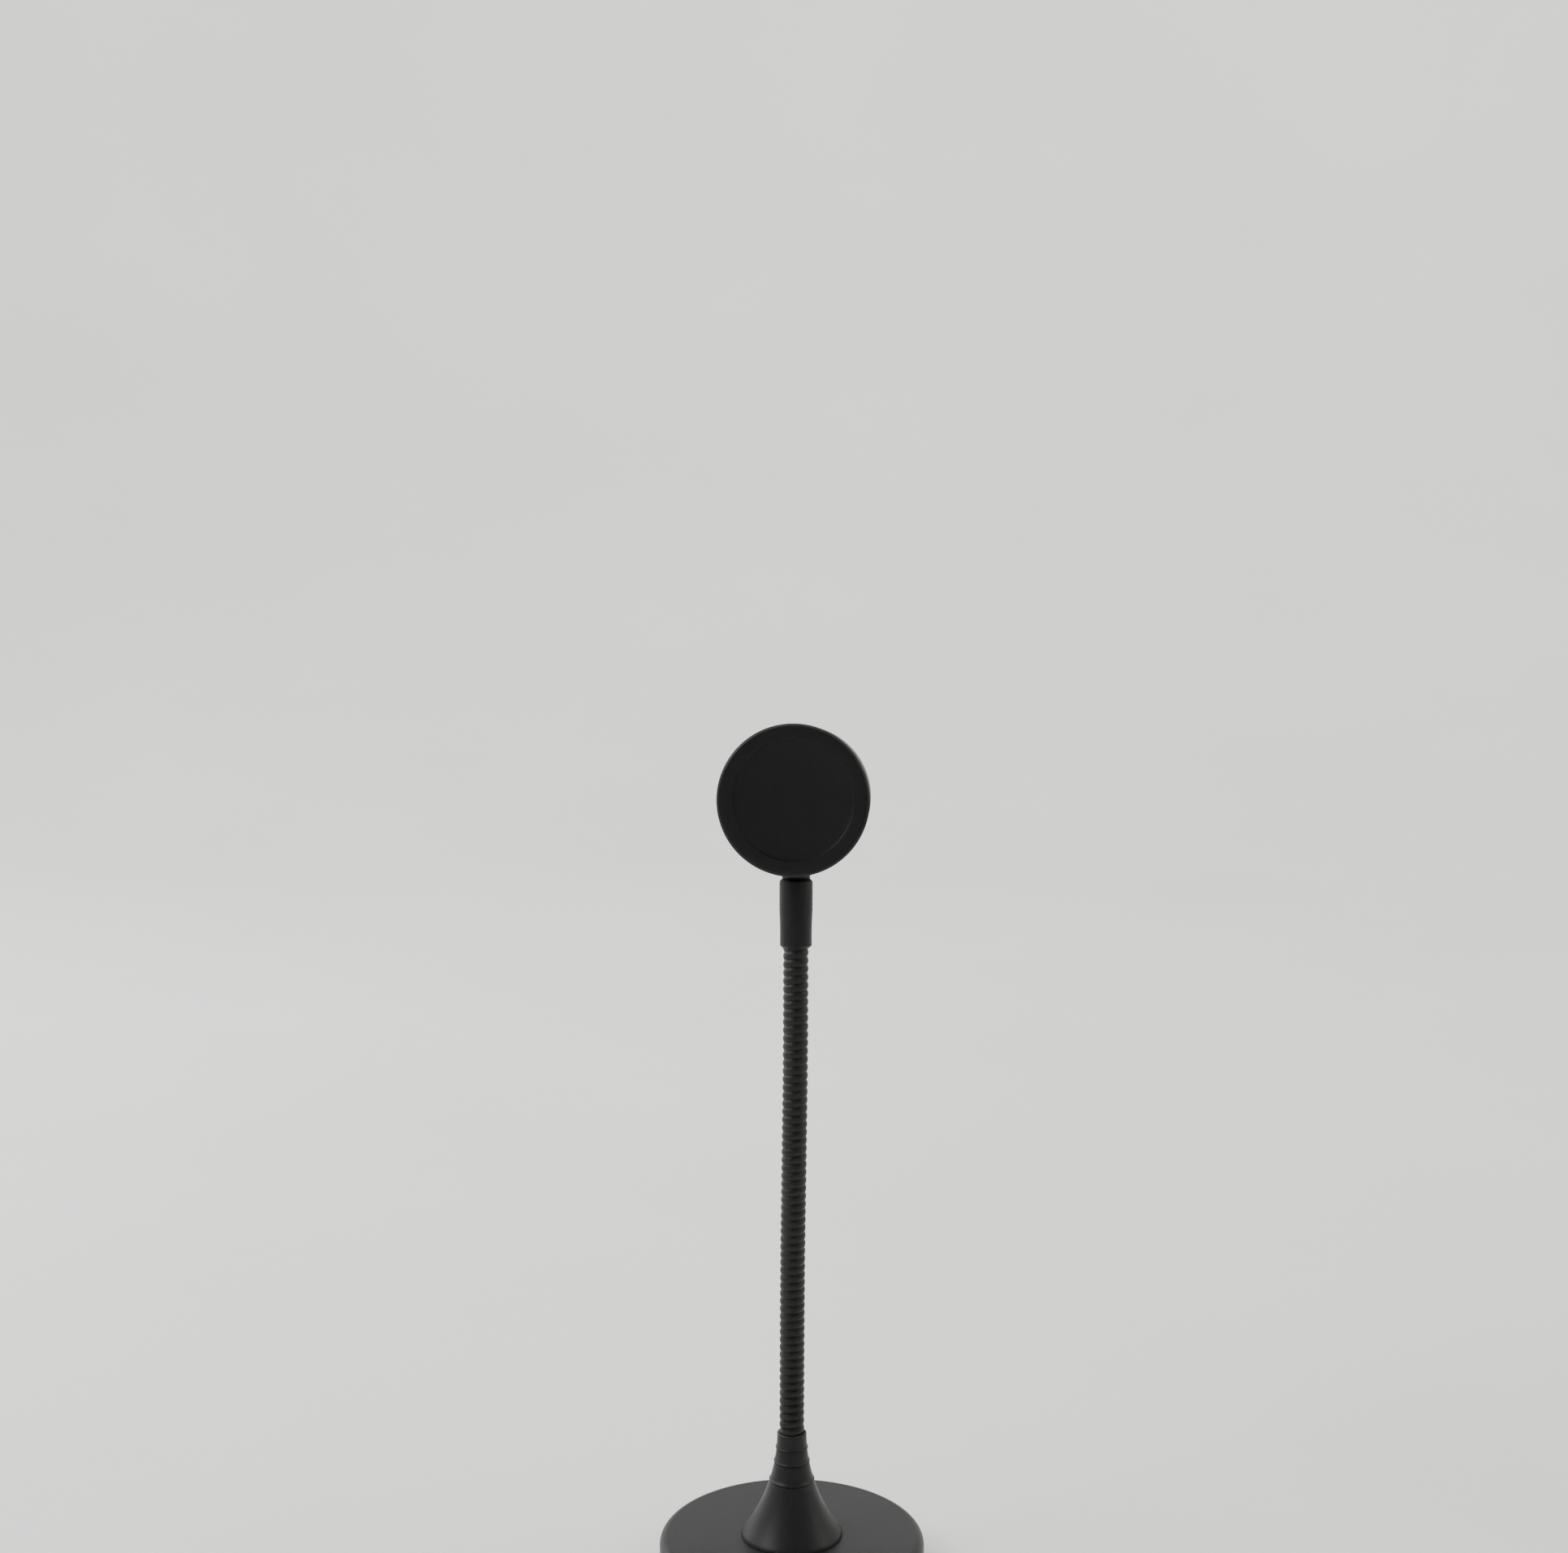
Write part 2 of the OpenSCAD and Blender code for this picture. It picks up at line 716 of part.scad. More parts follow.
module control_screw_places() {
    for (side = [-1, 1]) translate([side * board_screw_x, board_screw_y, 0]) children();
}

module control_board() {
    color("#1f5a3a") difference() {
        translate([-board_w / 2, board_near, board_low])
            cube([board_w, board_far - board_near, board_t]);
        control_screw_places() disc(board_screw_d / 2 + fit, board_low - eps, board_top + eps);
    }
}

module control_board_screws() {
    color("#c7c9cc") control_screw_places() difference() {
        union() {
            disc(board_screw_d / 2, pad_t + 0.5, board_top);
            disc(board_screw_d - 0.2, board_top, board_top + 1.2);
        }
        translate([-board_screw_d, -0.2, board_top + 0.6]) cube([2 * board_screw_d, 0.4, 1]);
    }
}

module power_inlet() {
    color("#b9bbc0") translate([0, inlet_mouth, inlet_mid]) rotate([90, 0, 0]) difference() {
        linear_extrude(inlet_len) stadium(inlet_w, inlet_h);
        translate([0, 0, -eps]) linear_extrude(inlet_len - inlet_back_t + eps)
            stadium(inlet_w - 2 * inlet_wall, inlet_h - 2 * inlet_wall);
    }
}

module inlet_tongue() {
    back = inlet_mouth - inlet_len + inlet_back_t;
    color("#1b1b1b") translate([-tongue_w / 2, back, inlet_mid - tongue_h / 2])
        cube([tongue_w, inlet_len - inlet_back_t - tongue_set_back, tongue_h]);
}

module switch_body() {
    color("#242426") translate([0, button_at, 0]) {
        translate([-switch_w / 2, -switch_w / 2, board_top]) cube([switch_w, switch_w, switch_h]);
        disc(guide_r, spring_low - eps, button_pocket - button_travel - 0.4);
    }
}

// open coil between the switch body and the roof of the button's pocket
spring_high = button_pocket;
spring_steps = 14;
function coil_point(i) =
    let (a = i * 360 / spring_steps, total = spring_turns * spring_steps,
        low = spring_low + spring_wire / 2, high = spring_high - spring_wire / 2)
    [spring_r * cos(a), button_at + spring_r * sin(a), low + (high - low) * i / total];
spring_gap = (spring_high - spring_low - spring_wire) / spring_turns - spring_wire;
echo("least gap between the spring's turns", spring_gap);

module button_spring() {
    color("#c7c9cc") wire([for (i = [0:spring_turns * spring_steps]) coil_point(i)],
        spring_wire / 2, 6, [0, 0, 1]);
}

module switch_button() {
    top = base_h + button_proud;
    color("#1d1d20") translate([0, button_at, 0]) difference() {
        union() {
            rotate_extrude() polygon([
                [0, button_foot], [button_r, button_foot], [button_r, top - 0.5],
                [button_r - 0.5, top], [0, top]
            ]);
            disc(button_r + button_flange_w, under_top - button_flange_t - 0.05, under_top - 0.05);
        }
        disc(spring_r + spring_wire / 2 + 0.3, button_foot - eps, button_pocket);
        translate([0, 0, top + 7.6]) sphere(r = 8);
    }
}

// two wires from the stud's foot to the control board, square to the face at both ends
module base_leads() {
    pad_y = board_near + 3.4;
    for (side = [-1, 1])
        color(side < 0 ? "#b02a20" : "#1c1c1c") wire([
            [side * lead_apart, 0, stud_foot], [side * lead_apart, 0, stud_foot - 0.5],
            [side * 0.7, 0.6, stud_foot - 1], [side * 0.9, 3, stud_foot - 1.2],
            [side * 1.6, board_near, board_top + 1.2], [side * 2, pad_y - 0.7, board_top + 1.2],
            [side * 2, pad_y, board_top + 0.6], [side * 2, pad_y, board_top]
        ], lead_r, 8, [1, 0, 0]);
}

echo(joints = [for (k = [1:links + 1]) joint(k)]);
echo(lean = rest_lean, sway = rest_sway, neck_top = neck_top, head_centre = head_centre);

head_shell();
rear_cap();
front_bezel();
lens_seal();
projection_lens();
colour_filter();
lens_barrel();
reflector();
led_phosphor();
led_chip();
led_board();
thermal_pad();
heat_sink();
led_board_screws();
threaded_stem();
stem_washer();
stem_nut();
head_leads();
upper_ferrule();
neck_end_upper();
for (k = [1:links]) neck_link(k);
neck_end_lower();
neck_cable();
flared_fitting();
base_cover();
base_weight();
bottom_plate();
foot_pad();
lock_washer();
fitting_nut();
control_board();
power_inlet();
inlet_tongue();
switch_body();
button_spring();
switch_button();
cover_screws();
control_board_screws();
base_leads();
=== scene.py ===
# Sunset projection lamp: a black turned head on a ribbed gooseneck, a flared fitting and a round base.
# Sizes are millimetres in the dictionaries and metres in the meshes.
import json
import math

import bmesh
import bpy
from mathutils import Matrix, Vector


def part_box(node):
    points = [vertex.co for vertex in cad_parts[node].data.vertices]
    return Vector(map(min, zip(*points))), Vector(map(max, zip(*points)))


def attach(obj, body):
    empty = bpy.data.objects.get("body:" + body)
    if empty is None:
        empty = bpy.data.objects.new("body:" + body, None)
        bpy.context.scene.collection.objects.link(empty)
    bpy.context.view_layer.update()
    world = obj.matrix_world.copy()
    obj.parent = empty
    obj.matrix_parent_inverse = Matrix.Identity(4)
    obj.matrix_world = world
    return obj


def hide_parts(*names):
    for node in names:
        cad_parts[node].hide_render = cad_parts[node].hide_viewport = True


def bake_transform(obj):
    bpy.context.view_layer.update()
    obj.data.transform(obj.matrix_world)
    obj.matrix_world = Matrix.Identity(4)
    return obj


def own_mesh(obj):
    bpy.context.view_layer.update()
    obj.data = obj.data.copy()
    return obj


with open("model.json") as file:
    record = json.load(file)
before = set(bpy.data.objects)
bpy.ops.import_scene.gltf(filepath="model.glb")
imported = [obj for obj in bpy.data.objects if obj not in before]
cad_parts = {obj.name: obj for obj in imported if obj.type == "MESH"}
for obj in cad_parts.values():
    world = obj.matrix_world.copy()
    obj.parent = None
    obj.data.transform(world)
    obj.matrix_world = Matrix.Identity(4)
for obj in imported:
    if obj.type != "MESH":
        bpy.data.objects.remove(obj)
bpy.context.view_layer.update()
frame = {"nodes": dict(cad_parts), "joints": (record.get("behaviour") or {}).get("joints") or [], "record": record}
mm = 0.001
weld = 0.002 * mm   # points closer than this are made one
downNeck = Matrix.Rotation(math.radians(90), 4, "X")   # turns a piece made along Z to point down the neck


# places, read from the frame

def centreOf(node):
    low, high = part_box(node)
    return (low + high) / 2


def frameMatrix(origin, xAxis, yAxis, zAxis):
    place = Matrix((xAxis, yAxis, zAxis)).transposed().to_4x4()
    place.translation = origin
    return place


# the filter and the light board are plain discs on the head's axis; the washer and the stem are on the neck's
lightWay = (centreOf("colour_filter") - centreOf("led_board")).normalized()
neckWay = (centreOf("stem_washer") - centreOf("threaded_stem")).normalized()
filterPoint = centreOf("colour_filter")
headCentre = filterPoint + lightWay * (centreOf("stem_washer") - filterPoint).dot(lightWay)
headPlace = frameMatrix(headCentre, neckWay.cross(lightWay), neckWay, lightWay)

pivots = [Vector(joint["pos_m"]) for joint in frame["joints"] if joint["type"] == "hinge"]
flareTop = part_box("flared_fitting")[1].z
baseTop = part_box("base_cover")[1].z
print("frame read: head centre", [round(v / mm, 2) for v in headCentre])


# modelling helpers

def nothingSelected():
    if bpy.context.object and bpy.context.object.mode != "OBJECT":
        bpy.ops.object.mode_set(mode="OBJECT")
    bpy.ops.object.select_all(action="DESELECT")


def pickOnly(piece):
    nothingSelected()
    piece.select_set(True)
    bpy.context.view_layer.objects.active = piece


def applyModifier(piece, kind, **settings):
    pickOnly(piece)
    bpy.ops.object.modifier_add(type=kind)
    modifier = piece.modifiers[-1]
    for key, value in settings.items():
        setattr(modifier, key, value)
    bpy.ops.object.modifier_apply(modifier=modifier.name)


def softenEdges(piece, width, segments=2, angle=28):
    applyModifier(piece, "BEVEL", width=width * mm, segments=segments, limit_method="ANGLE",
                  angle_limit=math.radians(angle), use_clamp_overlap=True)


def smoothShade(piece, angle=32):
    pickOnly(piece)
    bpy.ops.object.shade_smooth_by_angle(angle=math.radians(angle))


def turnPiece(name, outline, sides=96, closed=False):
    # A turned piece: a point is extruded along the outline of (radius, height) and spun about Z.
    nothingSelected()
    radius, height = outline[0]
    bpy.ops.mesh.primitive_plane_add(size=mm, location=(radius * mm, 0, height * mm))
    piece = bpy.context.object
    piece.name = name
    bpy.ops.object.transform_apply(location=True, rotation=False, scale=False)
    bpy.ops.object.mode_set(mode="EDIT")
    bpy.ops.mesh.merge(type="CENTER")
    way = outline[1:] + ([outline[0]] if closed else [])
    for radiusTo, heightTo in way:
        step = ((radiusTo - radius) * mm, 0, (heightTo - height) * mm)
        bpy.ops.mesh.extrude_region_move(TRANSFORM_OT_translate={"value": step})
        radius, height = radiusTo, heightTo
    bpy.ops.mesh.select_all(action="SELECT")
    bpy.ops.mesh.spin(steps=sides, angle=2 * math.pi, center=(0, 0, 0), axis=(0, 0, 1))
    bpy.ops.mesh.select_all(action="SELECT")
    bpy.ops.mesh.remove_doubles(threshold=weld)
    bpy.ops.mesh.normals_make_consistent(inside=False)
    bpy.ops.object.mode_set(mode="OBJECT")
    return piece


def placePiece(piece, place):
    piece.matrix_world = place
    pickOnly(piece)
    bpy.ops.object.transform_apply(location=True, rotation=True, scale=True)


def cutAway(piece, cutter):
    applyModifier(piece, "BOOLEAN", operation="DIFFERENCE", solver="EXACT", object=cutter)
    bpy.data.objects.remove(cutter)


def joinOn(piece, other):
    applyModifier(piece, "BOOLEAN", operation="UNION", solver="EXACT", object=other)
    bpy.data.objects.remove(other)


def arcPoints(centre, radius, fromAngle, toAngle, count):
    # Points on an arc in the (radius, height) plane, angles in degrees.
    angles = [math.radians(fromAngle + (toAngle - fromAngle) * i / count) for i in range(count + 1)]
    return [(centre[0] + radius * math.cos(a), centre[1] + radius * math.sin(a)) for a in angles]


# materials

def newMaterial(name, colour, roughness, metallic=0.0):
    material = bpy.data.materials.new(name)
    material.use_nodes = True
    shader = material.node_tree.nodes["Principled BSDF"]
    shader.inputs["Base Color"].default_value = (*colour, 1)
    shader.inputs["Roughness"].default_value = roughness
    shader.inputs["Metallic"].default_value = metallic
    return material


def addNode(material, kind, **settings):
    node = material.node_tree.nodes.new(kind)
    for key, value in settings.items():
        setattr(node, key, value)
    return node


def link(material, output, target):
    material.node_tree.links.new(output, target)


def shaderOf(material):
    return material.node_tree.nodes["Principled BSDF"]


def objectPoint(material, place=None):
    # Object coordinates, or the same measured from a place such as the head's axis.
    point = addNode(material, "ShaderNodeTexCoord").outputs["Object"]
    if place is None:
        return point
    mapping = addNode(material, "ShaderNodeMapping", vector_type="TEXTURE")
    mapping.inputs["Location"].default_value = place.translation
    mapping.inputs["Rotation"].default_value = place.to_euler("XYZ")
    link(material, point, mapping.inputs["Vector"])
    return mapping.outputs["Vector"]


def noise(material, point, scale, detail=3.0, roughness=0.5):
    node = addNode(material, "ShaderNodeTexNoise")
    node.inputs["Scale"].default_value = scale
    node.inputs["Detail"].default_value = detail
    node.inputs["Roughness"].default_value = roughness
    link(material, point, node.inputs["Vector"])
    return node.outputs["Fac"]


def varied(material, value, low, high, fromLow=0.35, fromHigh=0.65):
    node = addNode(material, "ShaderNodeMapRange")
    for key, number in (("From Min", fromLow), ("From Max", fromHigh), ("To Min", low), ("To Max", high)):
        node.inputs[key].default_value = number
    link(material, value, node.inputs["Value"])
    return node.outputs["Result"]


def shaded(material, value, darkColour, lightColour):
    ramp = addNode(material, "ShaderNodeValToRGB")
    ramp.color_ramp.elements[0].position = 0.3
    ramp.color_ramp.elements[1].position = 0.7
    ramp.color_ramp.elements[0].color = (*darkColour, 1)
    ramp.color_ramp.elements[1].color = (*lightColour, 1)
    link(material, value, ramp.inputs["Fac"])
    link(material, ramp.outputs["Color"], shaderOf(material).inputs["Base Color"])


def bumped(material, value, strength, distance):
    bump = addNode(material, "ShaderNodeBump")
    bump.inputs["Strength"].default_value = strength
    bump.inputs["Distance"].default_value = distance
    link(material, value, bump.inputs["Height"])
    link(material, bump.outputs["Normal"], shaderOf(material).inputs["Normal"])


def turnedPoint(material, point):
    # Distance from the axis and height on it, so that a noise of it runs round the piece.
    flat = addNode(material, "ShaderNodeVectorMath", operation="MULTIPLY")
    flat.inputs[1].default_value = (1, 1, 0)
    link(material, point, flat.inputs[0])
    length = addNode(material, "ShaderNodeVectorMath", operation="LENGTH")
    link(material, flat.outputs["Vector"], length.inputs[0])
    parts = addNode(material, "ShaderNodeSeparateXYZ")
    link(material, point, parts.inputs["Vector"])
    joined = addNode(material, "ShaderNodeCombineXYZ")
    link(material, length.outputs["Value"], joined.inputs["X"])
    link(material, parts.outputs["Z"], joined.inputs["Y"])
    return joined.outputs["Vector"]


def mixed(material, first, second, share):
    # first * (1 - share) + second * share, for two plain numbers
    node = addNode(material, "ShaderNodeMix", data_type="FLOAT")
    node.inputs["Factor"].default_value = share
    link(material, first, node.inputs["A"])
    link(material, second, node.inputs["B"])
    return node.outputs["Result"]


def worked(material, operation, *values):
    # One step of sums on a number of the node tree.
    node = addNode(material, "ShaderNodeMath", operation=operation)
    for socket, value in zip(node.inputs, values):
        if isinstance(value, (int, float)):
            socket.default_value = value
        else:
            link(material, value, socket)
    return node.outputs["Value"]


def turnedBlack(name, place):
    # Black anodised aluminium with the marks of the lathe: coarse feed lines, and hair lines between them.
    material = newMaterial(name, (0.006, 0.006, 0.007), 0.42)
    shaderOf(material).inputs["Specular IOR Level"].default_value = 0.22
    point = objectPoint(material, place)
    around = turnedPoint(material, point)
    marks = mixed(material, noise(material, around, 2300, 1), noise(material, around, 7500, 2), 0.5)
    grain = noise(material, point, 3800, 2)
    shaded(material, mixed(material, marks, grain, 0.5), (0.0045, 0.0045, 0.0052), (0.0085, 0.0085, 0.0095))
    link(material, varied(material, marks, 0.4, 0.56), shaderOf(material).inputs["Roughness"])
    bumped(material, mixed(material, marks, grain, 0.2), 0.42, 0.00003)
    return material


def lacqueredBlack(name):
    # Black powder coat with a fine orange peel.
    material = newMaterial(name, (0.007, 0.007, 0.008), 0.45)
    shaderOf(material).inputs["Specular IOR Level"].default_value = 0.25
    point = objectPoint(material)
    peel = noise(material, point, 1100, 2)
    dust = noise(material, point, 5200, 3)
    shaded(material, mixed(material, peel, dust, 0.6), (0.0055, 0.0055, 0.0062), (0.0105, 0.0105, 0.0115))
    link(material, varied(material, dust, 0.38, 0.52), shaderOf(material).inputs["Roughness"])
    bumped(material, mixed(material, peel, dust, 0.25), 0.24, 0.00006)
    return material


def gooseneckBlack():
    # Black coated steel wire, lighter along the crests of the ribs than in the grooves: partly rubbed wear, partly
    # a painted highlight on the crests.
    material = newMaterial("gooseneckBlack", (0.02, 0.02, 0.022), 0.4)
    shaderOf(material).inputs["Specular IOR Level"].default_value = 0.22
    point = objectPoint(material)
    crest = addNode(material, "ShaderNodeAttribute", attribute_name="crest")
    speckle = noise(material, point, 8000, 2)
    # the crests are painted lighter: rubbed wear and a painted highlight, mixed with a random speckle
    wearAndPaintedHighlight = mixed(material, crest.outputs["Fac"], speckle, 0.3)
    shaded(material, wearAndPaintedHighlight, (0.0045, 0.0045, 0.005), (0.013, 0.0128, 0.0126))
    link(material, varied(material, speckle, 0.4, 0.52), shaderOf(material).inputs["Roughness"])
    bumped(material, speckle, 0.1, 0.00002)
    return material


def amberLens():
    # Polished amber glass, coated against glare: its low index mirrors little of the room.
    material = newMaterial("amberLens", (1.0, 0.66, 0.2), 0.03)
    shader = shaderOf(material)
    shader.inputs["Transmission Weight"].default_value = 1.0
    shader.inputs["IOR"].default_value = 1.33
    dust = noise(material, objectPoint(material), 260, 5)
    link(material, varied(material, dust, 0.01, 0.05, 0.45, 0.75), shader.inputs["Roughness"])
    return material


def orangeFilter():
    material = newMaterial("orangeFilter", (1.0, 0.75, 0.2), 0.04)
    shaderOf(material).inputs["Transmission Weight"].default_value = 1.0
    shaderOf(material).inputs["IOR"].default_value = 1.25
    tint = noise(material, objectPoint(material, headPlace), 60, 2)
    shaded(material, tint, (1.0, 0.7, 0.16), (1.0, 0.79, 0.23))
    return material


def glowingPhosphor():
    material = newMaterial("glowingPhosphor", (1.0, 0.78, 0.12), 0.6)
    grain = noise(material, objectPoint(material), 4000, 2)
    shaded(material, grain, (0.95, 0.66, 0.06), (1.0, 0.86, 0.22))
    shaderOf(material).inputs["Emission Color"].default_value = (1.0, 0.8, 0.15, 1)
    shaderOf(material).inputs["Emission Strength"].default_value = 2.6
    return material


def grainyMaterial(name, dark, light, roughness, scale, strength, metallic=0.0, distance=0.00006):
    # Moulded, cast or sprayed finishes: a grain in the colour, the gloss and the surface.
    material = newMaterial(name, light, roughness, metallic)
    point = objectPoint(material)
    grain = noise(material, point, scale, 4)
    shaded(material, grain, dark, light)
    link(material, varied(material, grain, roughness - 0.06, roughness + 0.06),
         shaderOf(material).inputs["Roughness"])
    bumped(material, grain, strength, distance)
    return material


def brushedMetal(name, colour, roughness, place=None, scale=2200):
    material = newMaterial(name, colour, roughness, 1.0)
    point = objectPoint(material, place)
    marks = noise(material, turnedPoint(material, point), scale, 2)
    dark = tuple(c * 0.82 for c in colour)
    shaded(material, marks, dark, colour)
    link(material, varied(material, marks, roughness - 0.05, roughness + 0.07),
         shaderOf(material).inputs["Roughness"])
    bumped(material, marks, 0.1, 0.00003)
    return material


def contactTongue():
    # Black plastic with twelve gilt contacts, half a millimetre apart, that start behind its bare tip.
    material = newMaterial("contactTongue", (0.02, 0.02, 0.02), 0.4)
    parts = addNode(material, "ShaderNodeSeparateXYZ")
    link(material, objectPoint(material), parts.inputs["Vector"])
    along = worked(material, "FRACT", worked(material, "MULTIPLY", parts.outputs["X"], 2000))
    stripe = worked(material, "COMPARE", along, 0.5, 0.24)
    inside = worked(material, "LESS_THAN", worked(material, "ABSOLUTE", parts.outputs["X"]), 3 * mm)
    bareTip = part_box("inlet_tongue")[1].y - 0.4 * mm
    behind = worked(material, "LESS_THAN", parts.outputs["Y"], bareTip)
    contact = worked(material, "MULTIPLY", worked(material, "MULTIPLY", stripe, inside), behind)
    shaded(material, contact, (0.02, 0.02, 0.02), (0.83, 0.62, 0.26))
    link(material, contact, shaderOf(material).inputs["Metallic"])
    return material


headBlack = turnedBlack("headBlack", headPlace)
ferruleBlack = turnedBlack("ferruleBlack", headPlace @ downNeck)
coverBlack = lacqueredBlack("coverBlack")
neckBlack = gooseneckBlack()
lensAmber = amberLens()
buttonBlack = grainyMaterial("buttonBlack", (0.018, 0.018, 0.02), (0.028, 0.028, 0.03), 0.46, 2600, 0.12)
padRubber = grainyMaterial("padRubber", (0.012, 0.012, 0.012), (0.03, 0.03, 0.03), 0.85, 1800, 0.5)
zincSteel = brushedMetal("zincSteel", (0.62, 0.63, 0.64), 0.3)
nodeMaterials = {
    "black_rubber": grainyMaterial("sealRubber", (0.015,) * 3, (0.03,) * 3, 0.6, 2400, 0.2),
    "barrel_plastic": grainyMaterial("barrelBlack", (0.012,) * 3, (0.022,) * 3, 0.6, 2600, 0.15),
    "bright_mirror": brushedMetal("brightMirror", (0.9, 0.9, 0.91), 0.12, headPlace, 1600),
    "phosphor": glowingPhosphor(),
    "ceramic": grainyMaterial("creamCeramic", (0.74, 0.7, 0.6), (0.88, 0.85, 0.78), 0.5, 3000, 0.1),
    "white_board": grainyMaterial("whiteBoard", (0.72, 0.72, 0.7), (0.86, 0.86, 0.84), 0.42, 1800, 0.08),
    "soft_pad": grainyMaterial("softPad", (0.26, 0.36, 0.46), (0.36, 0.46, 0.56), 0.8, 1500, 0.3),
    "raw_aluminium": brushedMetal("rawAluminium", (0.66, 0.67, 0.68), 0.38, headPlace),
    "zinc_steel": zincSteel,
    "lead_sleeve": grainyMaterial("leadSleeve", (0.3, 0.02, 0.015), (0.42, 0.04, 0.03), 0.45, 1200, 0.1),
    "cable_jacket": grainyMaterial("cableJacket", (0.015,) * 3, (0.03,) * 3, 0.5, 1500, 0.15),
    "cast_weight": grainyMaterial("castWeight", (0.08, 0.08, 0.085), (0.2, 0.2, 0.2), 0.65, 700, 0.6, 0.6),
    "grey_plate": brushedMetal("greyPlate", (0.2, 0.2, 0.21), 0.4),
    "foot_rubber": padRubber,
    "green_board": grainyMaterial("greenBoard", (0.015, 0.1, 0.05), (0.03, 0.2, 0.1), 0.35, 500, 0.15),
    "inlet_steel": brushedMetal("inletSteel", (0.6, 0.6, 0.62), 0.28),
    "black_plastic": grainyMaterial("blackPlastic", (0.015,) * 3, (0.03,) * 3, 0.5, 2200, 0.15),
    "filter_glass": orangeFilter(),
    "lens_glass": lensAmber,
    "black_anodised": headBlack,
    "black_lacquer": coverBlack,
    "gooseneck_metal": neckBlack,
    "button_plastic": buttonBlack,
}
slotOf = {part["node"]: part["material_slot"] for part in frame["record"]["subparts"]}
for node, thing in frame["nodes"].items():
    thing.data.materials.clear()
    thing.data.materials.append(contactTongue() if node == "inlet_tongue" else nodeMaterials[slotOf[node]])
print("materials made:", len(nodeMaterials) + 1)


def finishPiece(piece, material, slot, body, *nodes):
    piece.data.materials.clear()
    piece.data.materials.append(material)
    if body:
        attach(piece, body)
    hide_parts(*nodes)


# head

head = {
    "radius": 24.5, "wall": 2.0, "rear": 24.0, "front": 22.0, "capThick": 4.0, "dish": 0.6,
    "dishRadius": 19.5, "capChamfer": 0.8, "bezelLength": 9.0, "rim": 1.6,
    "grooves": 4, "grooveWidth": 1.2, "grooveDepth": 0.8, "groovePitch": 2.6,
    "bossRadius": 4.7, "bossHeight": 2.0, "bossChamfer": 0.25, "bossSunk": 0.6,
    "ledgeWidth": 1.7, "ledgeFace": 7.5, "ledgeThick": 1.5, "stemRadius": 3.05,
    "padRadius": 7.0, "padTop": 19.3,
    "fit": 0.05, "seam": 0.12,   # clearance of a spigot, and the hair that shows where two pieces meet
    "grooveStart": 2.0, "spigotWall": 1.2, "spigotEnd": 12.0, "dishSlope": 0.3,
    "tubeEdge": 0.18, "capEdge": 0.15,
}


def makeHeadTube(h):
    outer, inner = h["radius"], h["radius"] - h["wall"]
    outline = [(outer, -h["rear"])]
    for i in range(h["grooves"]):
        low = -h["rear"] + h["grooveStart"] + i * h["groovePitch"]
        deep = outer - h["grooveDepth"]
        high = low + h["grooveWidth"]
        outline += [(outer, low), (deep, low), (deep, high), (outer, high)]
    ledge, thick = h["ledgeFace"], h["ledgeThick"]
    narrow = inner - h["ledgeWidth"]
    outline += [(outer, h["front"]), (inner, h["front"]),
                (inner, ledge + thick), (narrow, ledge + thick), (narrow, ledge), (inner, ledge),
                (inner, -ledge), (narrow, -ledge), (narrow, -ledge - thick), (inner, -ledge - thick),
                (inner, -h["rear"])]
    tube = turnPiece("headTube", outline, 128, closed=True)
    softenEdges(tube, h["tubeEdge"])
    bossFoot, chamfer = outer + h["bossHeight"], h["bossChamfer"]
    boss = turnPiece("bossUnderHead", [(0, inner + h["bossSunk"]), (h["bossRadius"], inner + h["bossSunk"]),
                                       (h["bossRadius"], bossFoot - chamfer),
                                       (h["bossRadius"] - chamfer, bossFoot), (0, bossFoot)], 64)
    placePiece(boss, downNeck)
    joinOn(tube, boss)
    pad = turnPiece("washerPad", [(0, h["padTop"]), (h["padRadius"], h["padTop"]),
                                  (h["padRadius"], outer - 1), (0, outer - 1)], 64)
    placePiece(pad, downNeck)
    joinOn(tube, pad)
    past = 2   # the drill starts and ends this far outside
    bore = turnPiece("stemBore", [(0, h["padTop"] - past), (h["stemRadius"], h["padTop"] - past),
                                  (h["stemRadius"], bossFoot + past), (0, bossFoot + past)], 48)
    placePiece(bore, downNeck)
    cutAway(tube, bore)
    placePiece(tube, headPlace)
    smoothShade(tube)
    applyModifier(tube, "WEIGHTED_NORMAL", keep_sharp=True)
    finishPiece(tube, headBlack, "black_anodised", "head", "head_shell")


def makeRearCap(h):
    outer, back = h["radius"], -h["rear"] - h["capThick"]
    seat = outer - h["wall"] - h["fit"]
    hollow = seat - h["spigotWall"]
    joint = -h["rear"] - h["seam"]
    outline = [(0, back + h["dish"]), (h["dishRadius"] - h["dishSlope"], back + h["dish"]),
               (h["dishRadius"], back), (outer - h["capChamfer"], back), (outer, back + h["capChamfer"]),
               (outer, joint), (seat, joint), (seat, -h["spigotEnd"]), (hollow, -h["spigotEnd"]),
               (hollow, -h["rear"]), (0, -h["rear"])]
    cap = turnPiece("rearCap", outline, 128)
    softenEdges(cap, h["capEdge"])
    placePiece(cap, headPlace)
    smoothShade(cap)
    finishPiece(cap, headBlack, "black_anodised", "head", "rear_cap")


bezel = {
    "knurlWidth": 5.0, "knurlDepth": 0.5, "ridges": 72, "columnsPerRidge": 4,
    "relief": 0.5, "reliefDepth": 0.7,   # plain groove on each side of the knurl
    "spigotFrom": 17.6, "spigotInner": 18.05, "lipRadius": 16.4, "lipAt": 19.76, "lipThick": 1.2,
    "shoulder": 0.25, "tipSunk": 0.05, "frontChamfer": 0.6, "hoodChamfer": (0.4, 0.5), "hoodSteps": 9,
}


